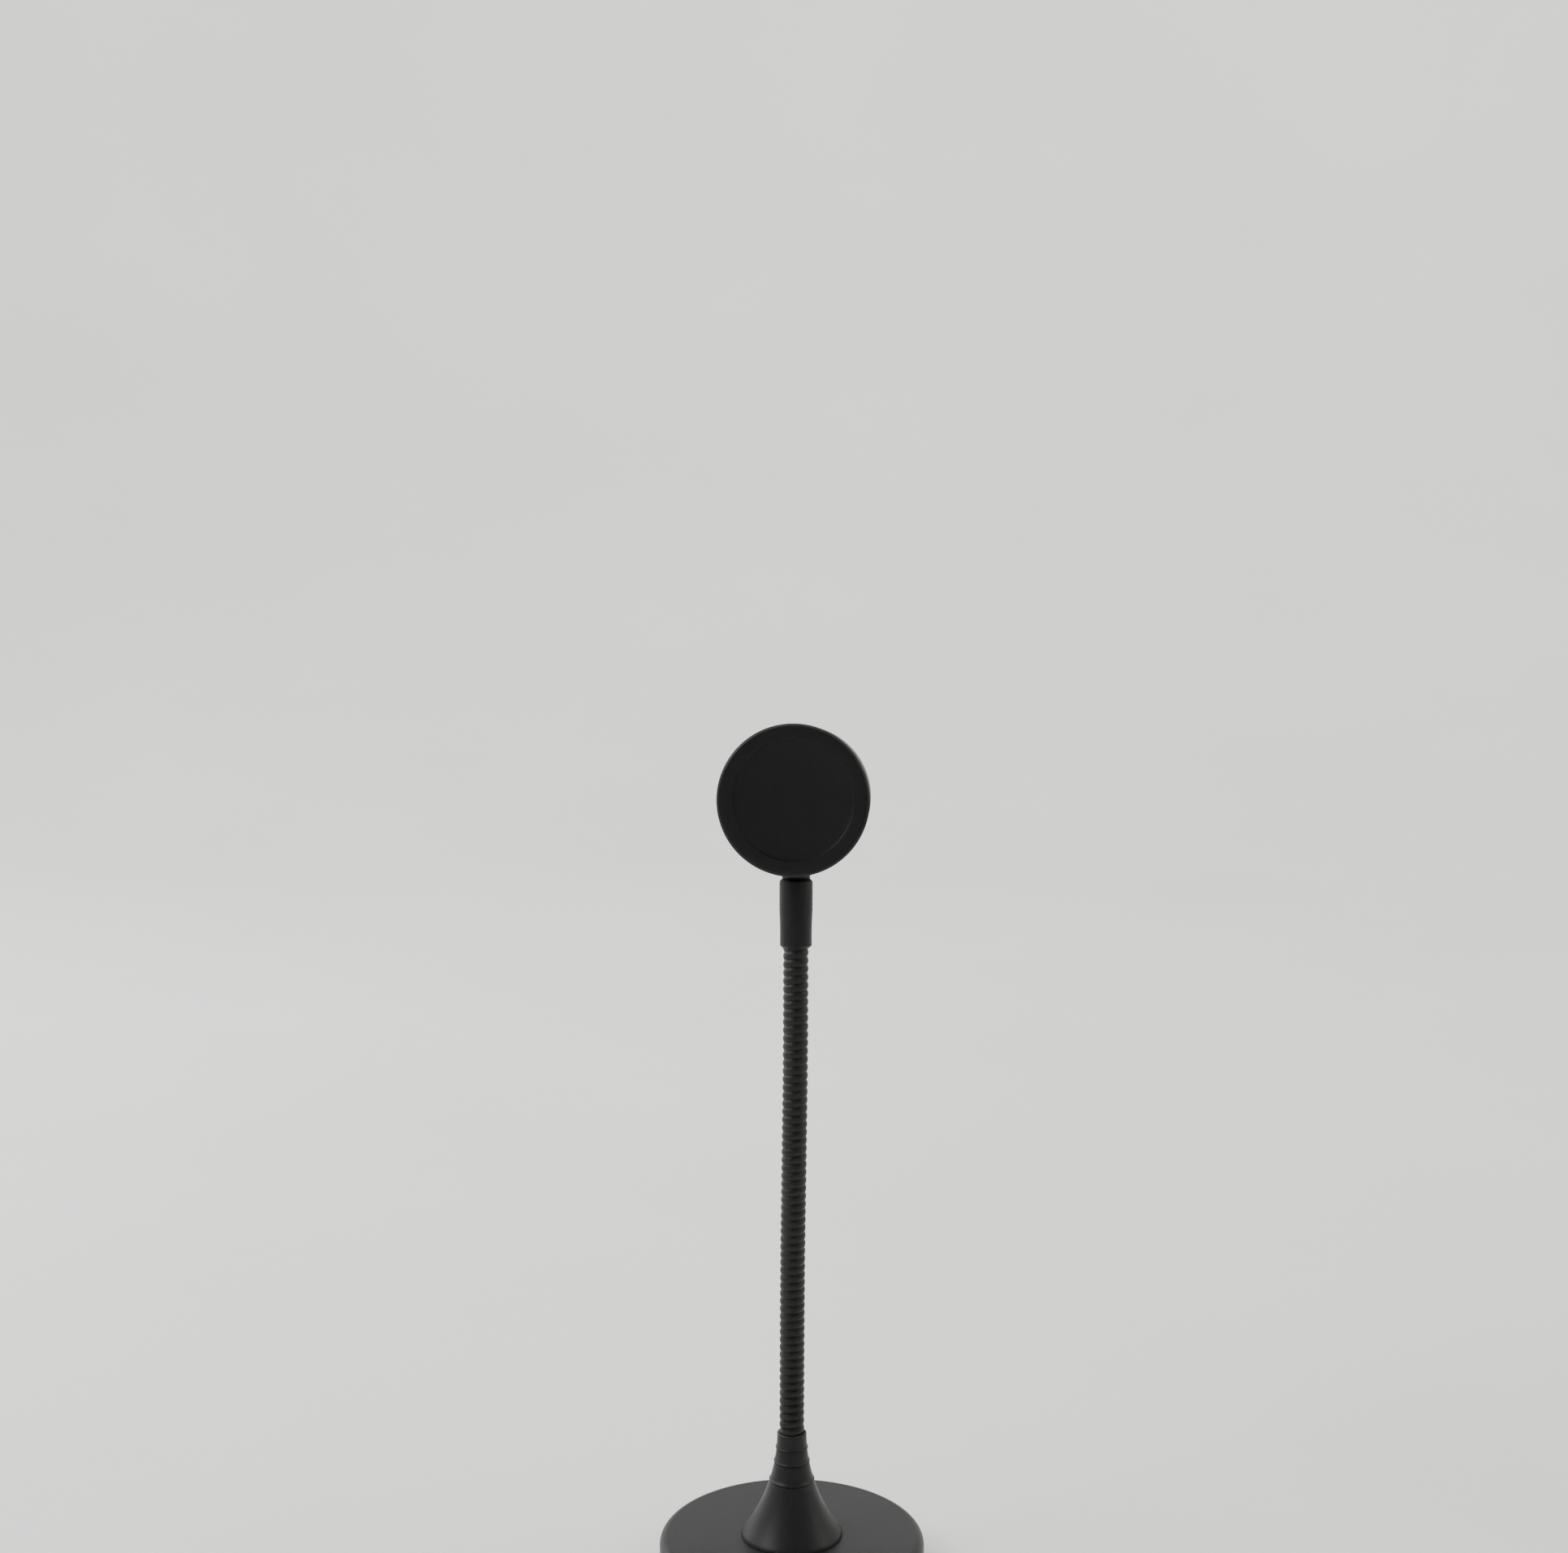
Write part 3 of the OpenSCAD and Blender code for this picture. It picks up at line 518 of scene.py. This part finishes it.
def makeFrontBezel(h, b):
    outer, front = h["radius"], h["front"] + h["bezelLength"]
    low = h["front"] + (h["bezelLength"] - b["knurlWidth"]) / 2
    high = low + b["knurlWidth"]
    seat = outer - h["wall"] - h["fit"]
    joint, shoulder = h["front"] + h["seam"], b["shoulder"]
    tip, root, relief = outer - b["tipSunk"], outer - b["reliefDepth"], b["relief"]
    hood, chamfer = outer - h["rim"], b["frontChamfer"]
    mouth, mouthAt = hood - b["hoodChamfer"][0], front - b["hoodChamfer"][1]
    outline = [(b["spigotInner"], b["spigotFrom"]), (seat, b["spigotFrom"]), (seat, joint),
               (outer - shoulder, joint), (outer, joint + shoulder),
               (outer, low - relief), (root, low - relief), (root, low), (tip, low), (tip, high),
               (root, high), (root, high + relief), (outer, high + relief),
               (outer, front - chamfer), (outer - chamfer, front), (hood, front), (mouth, mouthAt)]
    lipTop = b["lipAt"] + b["lipThick"]
    for i in range(b["hoodSteps"]):   # fine steps against glare, down the inside of the hood
        far = (i + 1) / b["hoodSteps"]
        z = mouthAt - (mouthAt - lipTop) * far
        outline += [(outline[-1][0], z), (mouth - (mouth - b["lipRadius"]) * far, z)]
    outline += [(b["lipRadius"], b["lipAt"]), (b["spigotInner"], b["lipAt"])]
    sides = b["ridges"] * b["columnsPerRidge"]
    ring = turnPiece("frontBezel", outline, sides, closed=True)
    pickOnly(ring)
    bpy.ops.object.mode_set(mode="EDIT")
    mesh = bmesh.from_edit_mesh(ring.data)
    bpy.ops.mesh.select_all(action="DESELECT")
    for vertex in mesh.verts:   # every second pair of columns goes in: the knurl's flutes
        radius = math.hypot(vertex.co.x, vertex.co.y) / mm
        column = round(math.atan2(vertex.co.y, vertex.co.x) / (2 * math.pi) * sides)
        inBand = low - 0.05 < vertex.co.z / mm < high + 0.05 and abs(radius - tip) < 0.02
        vertex.select_set(inBand and column % b["columnsPerRidge"] < b["columnsPerRidge"] / 2)
    mesh.select_flush_mode()
    bmesh.update_edit_mesh(ring.data)
    deeper = (tip - b["knurlDepth"]) / tip
    bpy.ops.transform.resize(value=(deeper, deeper, 1))
    bpy.ops.object.mode_set(mode="OBJECT")
    placePiece(ring, headPlace)
    smoothShade(ring, 25)
    finishPiece(ring, headBlack, "black_anodised", "head", "front_bezel")


lens = {"radius": 18.0, "back": 13.6, "edge": 3.0, "dome": 8.0, "chamfer": 0.3}


def makeLens(g):
    radius, back, front = g["radius"], g["back"], g["back"] + g["edge"]
    curve = (radius ** 2 + g["dome"] ** 2) / (2 * g["dome"])
    centre = front + g["dome"] - curve
    rimAngle = math.degrees(math.asin((front - centre) / curve))
    dome = arcPoints((0, centre), curve, rimAngle, 90, 28)
    dome[-1] = (0, dome[-1][1])
    outline = [(0, back), (radius - g["chamfer"], back), (radius, back + g["chamfer"])] + dome
    glass = turnPiece("projectionLens", outline, 128)
    placePiece(glass, headPlace)
    smoothShade(glass, 40)
    finishPiece(glass, lensAmber, "lens_glass", "head", "projection_lens")


makeHeadTube(head)
makeRearCap(head)
makeFrontBezel(head, bezel)
makeLens(lens)
print("head modelled")


# neck

neck = {
    "pitch": 2.73, "crest": 4.25, "depth": 0.46, "facesRound": 40, "faceCount": 8,
    "linkRibs": 5, "stubRibs": 3, "bore": 1.3, "cable": 1.0, "inFitting": 9.5,
}
ferrule = {
    "radius": 5.55, "lowRadius": 5.3, "length": 23.0, "step": 13.0, "chamfer": 0.9, "bore": 4.31,
    "stemRadius": 3.05, "seat": 10.0, "taper": 3.0, "edge": 0.12,
}
neckTop = headCentre - neckWay * (ferrule["length"] + head["bossHeight"] + head["radius"]) * mm
neckFoot = Vector((0, 0, flareTop))
ferrulePlace = frameMatrix(neckTop, headPlace.col[0].to_3d(), -headPlace.col[2].to_3d(), neckWay)


def makeFerrule(f):
    wide, slim, slope = f["radius"], f["lowRadius"], f["length"] - f["step"]
    outline = [(f["bore"], 0), (slim - f["chamfer"], 0), (slim, f["chamfer"]), (slim, slope - f["taper"]),
               (wide, slope + f["taper"]), (wide, f["length"] - f["chamfer"]),
               (wide - f["chamfer"], f["length"]), (f["stemRadius"], f["length"]),
               (f["stemRadius"], f["seat"]), (f["bore"], f["seat"])]
    collar = turnPiece("upperFerrule", outline, 80, closed=True)
    softenEdges(collar, f["edge"])
    placePiece(collar, ferrulePlace)
    smoothShade(collar)
    finishPiece(collar, ferruleBlack, "black_anodised", "head", "upper_ferrule")


def neckCurve():
    # The neck's centreline at rest, straight inside both fittings.
    below = neckFoot - Vector((0, 0, 2 * neck["inFitting"] * mm))
    above = neckTop + neckWay * 2 * neck["inFitting"] * mm
    points = [below, neckFoot] + pivots + [neckTop, above]
    data = bpy.data.curves.new("neckCentreline", "CURVE")
    data.dimensions = "3D"
    data.twist_mode = "MINIMUM"
    data.resolution_u = 24
    spline = data.splines.new("BEZIER")
    spline.bezier_points.add(len(points) - 1)
    for knot, point in zip(spline.bezier_points, points):
        knot.co = point
        knot.handle_left_type = knot.handle_right_type = "AUTO"
    guide = bpy.data.objects.new("neckCentreline", data)
    bpy.context.scene.collection.objects.link(guide)
    return guide


def markCrests(piece, n):
    # How high each point stands on its rib, 0 in the groove and 1 on the crest; the neck's colour uses it for wear
    # and a painted highlight on the crests.
    heights = [math.hypot(v.co.x, v.co.y) / mm for v in piece.data.vertices]
    crest = piece.data.attributes.new("crest", "FLOAT", "POINT")
    crest.data.foreach_set("value", [max(0, 1 - (n["crest"] - h) / n["depth"]) for h in heights])


def trimLength(piece, low, high):
    # Cuts the open winding square at both ends and drops what lies beyond.
    pickOnly(piece)
    bpy.ops.object.mode_set(mode="EDIT")
    for height, direction in ((low, 1), (high, -1)):
        bpy.ops.mesh.select_all(action="SELECT")
        bpy.ops.mesh.bisect(plane_co=(0, 0, height * mm), plane_no=(0, 0, direction), clear_inner=True,
                            threshold=0.0001 * mm)
    bpy.ops.mesh.select_all(action="SELECT")
    bpy.ops.mesh.remove_doubles(threshold=weld)
    bpy.ops.object.mode_set(mode="OBJECT")


def woundLength(name, low, high, n):
    # A stretch of the winding: one rib's section is screwed up the axis, trimmed and given its bore.
    nothingSelected()
    firstTurn = math.floor(low / n["pitch"]) - 2
    turns = math.ceil(high / n["pitch"]) + 2 - firstTurn
    start = firstTurn * n["pitch"]
    bpy.ops.mesh.primitive_plane_add(size=mm, location=((n["crest"] - n["depth"]) * mm, 0, start * mm))
    piece = bpy.context.object
    piece.name = name
    bpy.ops.object.transform_apply(location=True, rotation=False, scale=False)
    bpy.ops.object.mode_set(mode="EDIT")
    bpy.ops.mesh.merge(type="CENTER")
    last = n["crest"] - n["depth"]
    for i in range(1, n["faceCount"] + 1):
        side = 2 * i / n["faceCount"] - 1
        radius = n["crest"] - n["depth"] * side ** 2
        step = ((radius - last) * mm, 0, n["pitch"] / n["faceCount"] * mm)
        bpy.ops.mesh.extrude_region_move(TRANSFORM_OT_translate={"value": step})
        last = radius
    bpy.ops.object.mode_set(mode="OBJECT")
    applyModifier(piece, "SCREW", axis="Z", angle=2 * math.pi, screw_offset=n["pitch"] * mm,
                  iterations=turns, steps=n["facesRound"], render_steps=n["facesRound"],
                  use_merge_vertices=True, merge_threshold=weld)
    trimLength(piece, low, high)
    bpy.ops.mesh.primitive_cylinder_add(vertices=24, radius=n["bore"] * mm, depth=(high - low) * mm,
                                        end_fill_type="NOTHING", location=(0, 0, (low + high) / 2 * mm))
    bore = bpy.context.object
    bore.select_set(True)
    piece.select_set(True)
    bpy.context.view_layer.objects.active = piece
    bpy.ops.object.join()
    closeEnds(piece, low, high)
    return piece


def closeEnds(piece, low, high):
    # Bridges the outer and the inner edge at each end.
    pickOnly(piece)
    bpy.ops.object.mode_set(mode="EDIT")
    bpy.ops.mesh.select_mode(type="EDGE")
    for height in (low, high):
        bpy.ops.mesh.select_all(action="DESELECT")
        mesh = bmesh.from_edit_mesh(piece.data)
        for edge in mesh.edges:
            flat = all(abs(v.co.z / mm - height) < 0.001 for v in edge.verts)
            edge.select_set(flat and edge.is_boundary)
        bmesh.update_edit_mesh(piece.data)
        bpy.ops.mesh.bridge_edge_loops()
    bpy.ops.mesh.select_mode(type="VERT")
    bpy.ops.mesh.select_all(action="SELECT")
    bpy.ops.mesh.normals_make_consistent(inside=False)
    bpy.ops.object.mode_set(mode="OBJECT")


def cableLength(name, low, high, n):
    rings = 12   # enough for the cable to bend smoothly
    side = [(n["cable"], low + (high - low) * i / rings) for i in range(rings + 1)]
    return turnPiece(name, [(0, low)] + side + [(0, high)], 20)


def layOnCurve(piece, guide, n):
    # Bends a straight length onto the centreline; the curve starts two seats below the neck's foot.
    placePiece(piece, Matrix.Translation((0, 0, 2 * n["inFitting"] * mm)))
    applyModifier(piece, "CURVE", object=guide, deform_axis="POS_Z")


def makeNeck(n):
    # One wound length and one cable length for each hinge, from half a link before it to half a link after.
    guide = neckCurve()
    hinges = len(pivots)
    half = n["linkRibs"] / 2 * n["pitch"]
    total = (2 * n["stubRibs"] + (hinges - 1) * n["linkRibs"]) * n["pitch"]
    for k in range(hinges):
        first, last = k == 0, k == hinges - 1
        pivotAt = n["stubRibs"] * n["pitch"] + 2 * half * k
        low = -n["inFitting"] if first else pivotAt - half
        high = total + n["inFitting"] if last else pivotAt + half
        winding = woundLength("neckWinding_%d" % (k + 1), low, high, n)
        markCrests(winding, n)
        cable = cableLength("neckCable_%d" % (k + 1), low, high, n)
        nodes = ["neck_link_%d" % j for j in (k, k + 1) if 0 < j < hinges]
        nodes += ["neck_end_lower"] if first else ["neck_end_upper"] if last else []
        for piece in (winding, cable):
            layOnCurve(piece, guide, n)
            smoothShade(piece, 60)
        finishPiece(winding, neckBlack, "gooseneck_metal", None, *nodes)
        finishPiece(cable, nodeMaterials["cable_jacket"], "cable_jacket", None, "neck_cable")
        for piece in (winding, cable):
            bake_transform(piece)
    bpy.data.objects.remove(guide)


makeFerrule(ferrule)
makeNeck(neck)
print("neck modelled:", len(pivots), "wound lengths")


# flared fitting and base

flare = {
    "height": 36.0, "topRadius": 5.0, "curve": 57.0, "beads": (5.2, 10.0, 16.5), "beadRadius": 0.45,
    "seat": 10.0, "bore": 4.31, "cableWay": 1.2, "studRadius": 4.0, "studFoot": 7.7,
    "lip": 0.3, "beadSunk": 0.15, "beadHalf": 0.5, "footLip": 0.25, "footFlat": 0.5, "offCover": 0.02,
    "ring": 0.8,   # height of each ring that draws the hollow curve
}


def flareRadius(f, down):
    return f["topRadius"] + f["curve"] - math.sqrt(f["curve"] ** 2 - down ** 2)


def makeFlaredFitting(f):
    top, foot = flareTop / mm, baseTop / mm
    outline = [(f["bore"], top), (f["topRadius"] - f["lip"], top), (f["topRadius"], top - f["lip"])]
    down = 1.0
    while down < f["height"] - 0.6:
        bead = [b for b in f["beads"] if abs(b - down) < f["beadHalf"]]
        if bead:
            centre = (flareRadius(f, bead[0]) - f["beadSunk"], top - bead[0])
            outline += arcPoints(centre, f["beadRadius"], 70, -75, 6)
            down = bead[0] + f["beadHalf"]
        else:
            outline.append((flareRadius(f, down), top - down))
        down += f["ring"]
    footRadius, footAt = flareRadius(f, f["height"] - 1) + f["footLip"], foot + f["offCover"]
    outline += [(footRadius, foot + f["footFlat"]), (footRadius, footAt),
                (f["studRadius"], footAt), (f["studRadius"], f["studFoot"]), (f["cableWay"], f["studFoot"]),
                (f["cableWay"], top - f["seat"]), (f["bore"], top - f["seat"])]
    fitting = turnPiece("flaredFitting", outline, 112, closed=True)
    smoothShade(fitting, 34)
    finishPiece(fitting, coverBlack, "black_lacquer", "base", "flared_fitting")


base = {
    "radius": 45.0, "height": 15.0, "round": 3.0, "wall": 1.8, "topThick": 2.0, "foot": 1.2,
    "hole": 4.05, "postRing": 39.0, "postRadius": 3.0, "postBore": 1.3, "postFoot": 3.5,
    "postAngles": (30, 150, 210, 330), "buttonAt": 27.0, "buttonHole": 4.6, "inletMid": 7.73,
    "inletWidth": 9.24, "inletHeight": 3.56, "padThick": 1.5, "chamfer": 0.3, "edge": 0.14,
    "gripRings": (36.5, 30.0, 23.5, 17.0, 10.5), "gripWidth": 1.2, "gripSlope": 0.3, "gripDepth": 0.12,
    "offPlate": 0.02,
}


def tallPeg(name, radius, x, y, low, high, sides=48):
    peg = turnPiece(name, [(0, low), (radius, low), (radius, high), (0, high)], sides)
    placePiece(peg, Matrix.Translation((x * mm, y * mm, 0)))
    return peg


def inletCutter(b):
    # A rounded slot as wide as the socket, through the cover's wall.
    nothingSelected()
    bpy.ops.mesh.primitive_cube_add(size=1)
    slot = bpy.context.object
    slot.dimensions = (b["inletWidth"] * mm, 12 * mm, b["inletHeight"] * mm)
    slot.location = (0, (b["radius"] - 2) * mm, b["inletMid"] * mm)
    bpy.ops.object.transform_apply(location=True, rotation=True, scale=True)
    bpy.ops.object.mode_set(mode="EDIT")
    bpy.ops.mesh.select_mode(type="EDGE")
    bpy.ops.mesh.select_all(action="DESELECT")
    mesh = bmesh.from_edit_mesh(slot.data)
    for edge in mesh.edges:
        along = edge.verts[0].co - edge.verts[1].co
        edge.select_set(abs(along.y) > 10 * mm)
    bmesh.update_edit_mesh(slot.data)
    bpy.ops.mesh.bevel(offset=b["inletHeight"] * 0.495 * mm, segments=10, affect="EDGES")
    bpy.ops.mesh.select_mode(type="VERT")
    bpy.ops.object.mode_set(mode="OBJECT")
    return slot


def makeBaseCover(b):
    outer, top, curve = b["radius"], b["height"], b["round"]
    inner, under = outer - b["wall"], top - b["topThick"]
    edge = arcPoints((outer - curve, top - curve), curve, 90, 0, 10)
    inside = arcPoints((inner - curve, under - curve), curve, 0, 90, 8)
    rim = [(outer, b["foot"] + b["chamfer"]), (outer - b["chamfer"], b["foot"]), (inner, b["foot"])]
    outline = [(b["hole"], top)] + edge + rim + inside + [(b["hole"], under)]
    cover = turnPiece("baseCover", outline, 160, closed=True)
    for i, angle in enumerate(b["postAngles"]):
        x = b["postRing"] * math.cos(math.radians(angle))
        y = b["postRing"] * math.sin(math.radians(angle))
        joinOn(cover, tallPeg("post_%d" % i, b["postRadius"], x, y, b["postFoot"], under + 0.5))
        cutAway(cover, tallPeg("postBore_%d" % i, b["postBore"], x, y, b["postFoot"] - 1, 10))
    cutAway(cover, tallPeg("buttonHole", b["buttonHole"], 0, b["buttonAt"], under - 2, top + 2, 64))
    cutAway(cover, inletCutter(b))
    softenEdges(cover, b["edge"], 2, 40)
    smoothShade(cover, 30)
    applyModifier(cover, "WEIGHTED_NORMAL", keep_sharp=True)
    finishPiece(cover, coverBlack, "black_lacquer", "base", "base_cover")


def makeFootPad(b):
    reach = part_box("foot_pad")[1].x / mm
    top, slope, groove = b["padThick"] - b["offPlate"], b["gripSlope"], b["gripDepth"]
    rings = []
    for r in b["gripRings"]:   # shallow grip rings in the underside
        inner = r - b["gripWidth"]
        rings += [(r, 0), (r - slope, groove), (inner + slope, groove), (inner, 0)]
    outline = [(0, top), (reach, top), (reach, b["chamfer"]), (reach - b["chamfer"], 0)] + rings + [(0, 0)]
    pad = turnPiece("footPad", outline, 128)
    smoothShade(pad, 15)
    finishPiece(pad, padRubber, "foot_rubber", "base", "foot_pad")


button = {"radius": 4.5, "foot": 10.5, "proud": 1.4, "flange": 1.1, "flangeThick": 0.8, "pocket": 2.875,
          "skin": 1.0, "dishRadius": 3.4, "dish": 0.3}


def makeButton(k, b):
    top, under = b["height"] + k["proud"], b["height"] - b["topThick"] - 0.05
    r = k["radius"]
    dish = [(k["dishRadius"] * i / 6, top - k["dish"] * (1 - (i / 6) ** 2)) for i in range(6, -1, -1)]
    outline = [(0, top - k["skin"]), (k["pocket"], top - k["skin"]), (k["pocket"], k["foot"]), (r, k["foot"]),
               (r, under - k["flangeThick"]), (r + k["flange"], under - k["flangeThick"]),
               (r + k["flange"], under), (r, under)]
    outline += arcPoints((r - 0.5, top - 0.5), 0.5, 0, 90, 5) + dish
    cap = turnPiece("switchButton", outline, 80)
    placePiece(cap, Matrix.Translation((0, b["buttonAt"] * mm, 0)))
    smoothShade(cap, 30)
    finishPiece(cap, buttonBlack, "button_plastic", "button", "switch_button")


spring = {"wire": 0.35, "turns": 5, "facesRound": 10, "stepsPerTurn": 24, "travel": 1.0}


def makeButtonSpring(s, b):
    # The wire's round section screwed up the button's axis.
    low, high = [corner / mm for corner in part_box("button_spring")]
    radius = (high.x - low.x - s["wire"]) / 2
    nothingSelected()
    bpy.ops.mesh.primitive_circle_add(vertices=s["facesRound"], radius=s["wire"] / 2 * mm,
                                      fill_type="NOTHING", rotation=(math.radians(90), 0, 0),
                                      location=(radius * mm, 0, (low.z + s["wire"] / 2) * mm))
    coil = bpy.context.object
    coil.name = "buttonSpring"
    bpy.ops.object.transform_apply(location=True, rotation=True, scale=True)
    rise = (high.z - low.z - s["wire"]) / s["turns"]
    applyModifier(coil, "SCREW", axis="Z", angle=2 * math.pi, screw_offset=rise * mm, iterations=s["turns"],
                  steps=s["stepsPerTurn"], render_steps=s["stepsPerTurn"])
    bpy.ops.object.mode_set(mode="EDIT")
    bpy.ops.mesh.select_all(action="SELECT")
    bpy.ops.mesh.fill_holes(sides=s["facesRound"])
    bpy.ops.mesh.select_all(action="SELECT")
    bpy.ops.mesh.normals_make_consistent(inside=False)
    bpy.ops.object.mode_set(mode="OBJECT")
    placePiece(coil, Matrix.Translation((0, b["buttonAt"] * mm, 0)))
    smoothShade(coil, 50)
    finishPiece(coil, zincSteel, "zinc_steel", "base", "button_spring")
    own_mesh(coil)


makeFlaredFitting(flare)
makeBaseCover(base)
makeFootPad(base)
makeButton(button, base)
makeButtonSpring(spring, base)
print("base modelled")


# camera, light and floor

photo = {
    "width": 1932, "height": 1914, "lens": 50.0, "sensor": 36.0, "lookDown": 6.3,
    "headX": 977.0, "headY": 986.4, "headRadius": 95.0,   # the head's rear face in the photograph
}


def makeCamera(p, h):
    # Stands behind the lamp so that the head's rear face falls where the photograph has it.
    pixels = p["lens"] / p["sensor"] * p["width"]
    away = pixels * h["radius"] * mm / p["headRadius"]
    down = math.radians(p["lookDown"])
    ahead = Vector((0, -math.cos(down), -math.sin(down)))
    right = Vector((-1, 0, 0))
    below = ahead.cross(right)
    rearFace = headCentre - lightWay * (h["rear"] + h["capThick"]) * mm
    spot = rearFace - ahead * away
    spot -= right * (p["headX"] - p["width"] / 2) / pixels * away
    spot -= below * (p["headY"] - p["height"] / 2) / pixels * away
    data = bpy.data.cameras.new("photoCamera")
    data.lens = p["lens"]
    data.sensor_width = p["sensor"]
    data.clip_start = 0.02
    data.clip_end = 20
    camera = bpy.data.objects.new("photoCamera", data)
    bpy.context.scene.collection.objects.link(camera)
    camera.location = spot
    camera.rotation_euler = (math.radians(90) - down, 0, math.radians(180))
    bpy.context.scene.camera = camera
    return spot


studio = {   # metres and watts
    "floorRadius": 2.6, "wallHeight": 2.4, "sweep": 1.1, "roomLight": 0.18, "aim": (0, 0, 0.16),
    "keyLight": {"place": (1.1, 0.35, 1.1), "size": (0.6, 0.6), "power": 13},
    "fillLight": {"place": (-1.1, 0.1, 0.8), "size": (0.5, 0.9), "power": 4, "colour": (1.0, 0.94, 0.86)},
    "rimLight": {"place": (1.35, -0.95, 1.0), "size": (0.4, 1.1), "power": 14},
    "wallLight": {"place": (0.0, -0.45, 2.5), "aim": (0, -2.4, 0.6), "size": (3.2, 0.6), "power": 90},
}


def makeLight(name, place, size, power, aim=studio["aim"], colour=(1, 1, 1)):
    data = bpy.data.lights.new(name, "AREA")
    data.shape = "RECTANGLE"
    data.size, data.size_y = size
    data.energy = power
    data.color = colour
    lamp = bpy.data.objects.new(name, data)
    bpy.context.scene.collection.objects.link(lamp)
    lamp.location = place
    lamp.rotation_euler = (Vector(place) - Vector(aim)).to_track_quat("Z", "Y").to_euler()


def makeStage(r):
    # A pale round floor that curves up into a wall all round, open above.
    nothingSelected()
    bpy.ops.mesh.primitive_circle_add(vertices=96, radius=r["floorRadius"], fill_type="NGON")
    sweep = bpy.context.object
    sweep.name = "studioFloor"
    bpy.ops.object.mode_set(mode="EDIT")
    bpy.ops.mesh.select_mode(type="EDGE")
    bpy.ops.mesh.select_all(action="SELECT")
    bpy.ops.mesh.region_to_loop()
    bpy.ops.mesh.extrude_region_move(TRANSFORM_OT_translate={"value": (0, 0, r["wallHeight"])})
    bpy.ops.mesh.select_all(action="SELECT")
    bpy.ops.mesh.normals_make_consistent(inside=True)
    bpy.ops.mesh.select_mode(type="VERT")
    bpy.ops.object.mode_set(mode="OBJECT")
    applyModifier(sweep, "BEVEL", width=r["sweep"], segments=24, limit_method="ANGLE",
                  angle_limit=math.radians(60))
    smoothShade(sweep, 60)
    floor = newMaterial("paleFloor", (0.78, 0.77, 0.75), 0.75)
    shaded(floor, noise(floor, objectPoint(floor), 3, 3), (0.76, 0.755, 0.74), (0.8, 0.795, 0.78))
    sweep.data.materials.append(floor)


def makeWorld(r):
    world = bpy.data.worlds.new("softRoom")
    world.use_nodes = True
    world.node_tree.nodes["Background"].inputs["Color"].default_value = (0.9, 0.93, 1.0, 1)
    world.node_tree.nodes["Background"].inputs["Strength"].default_value = r["roomLight"]
    bpy.context.scene.world = world


cameraSpot = makeCamera(photo, head)
makeStage(studio)
makeWorld(studio)
for name in ("keyLight", "fillLight", "rimLight", "wallLight"):
    makeLight(name, **studio[name])
print("camera at", [round(v, 3) for v in cameraSpot])
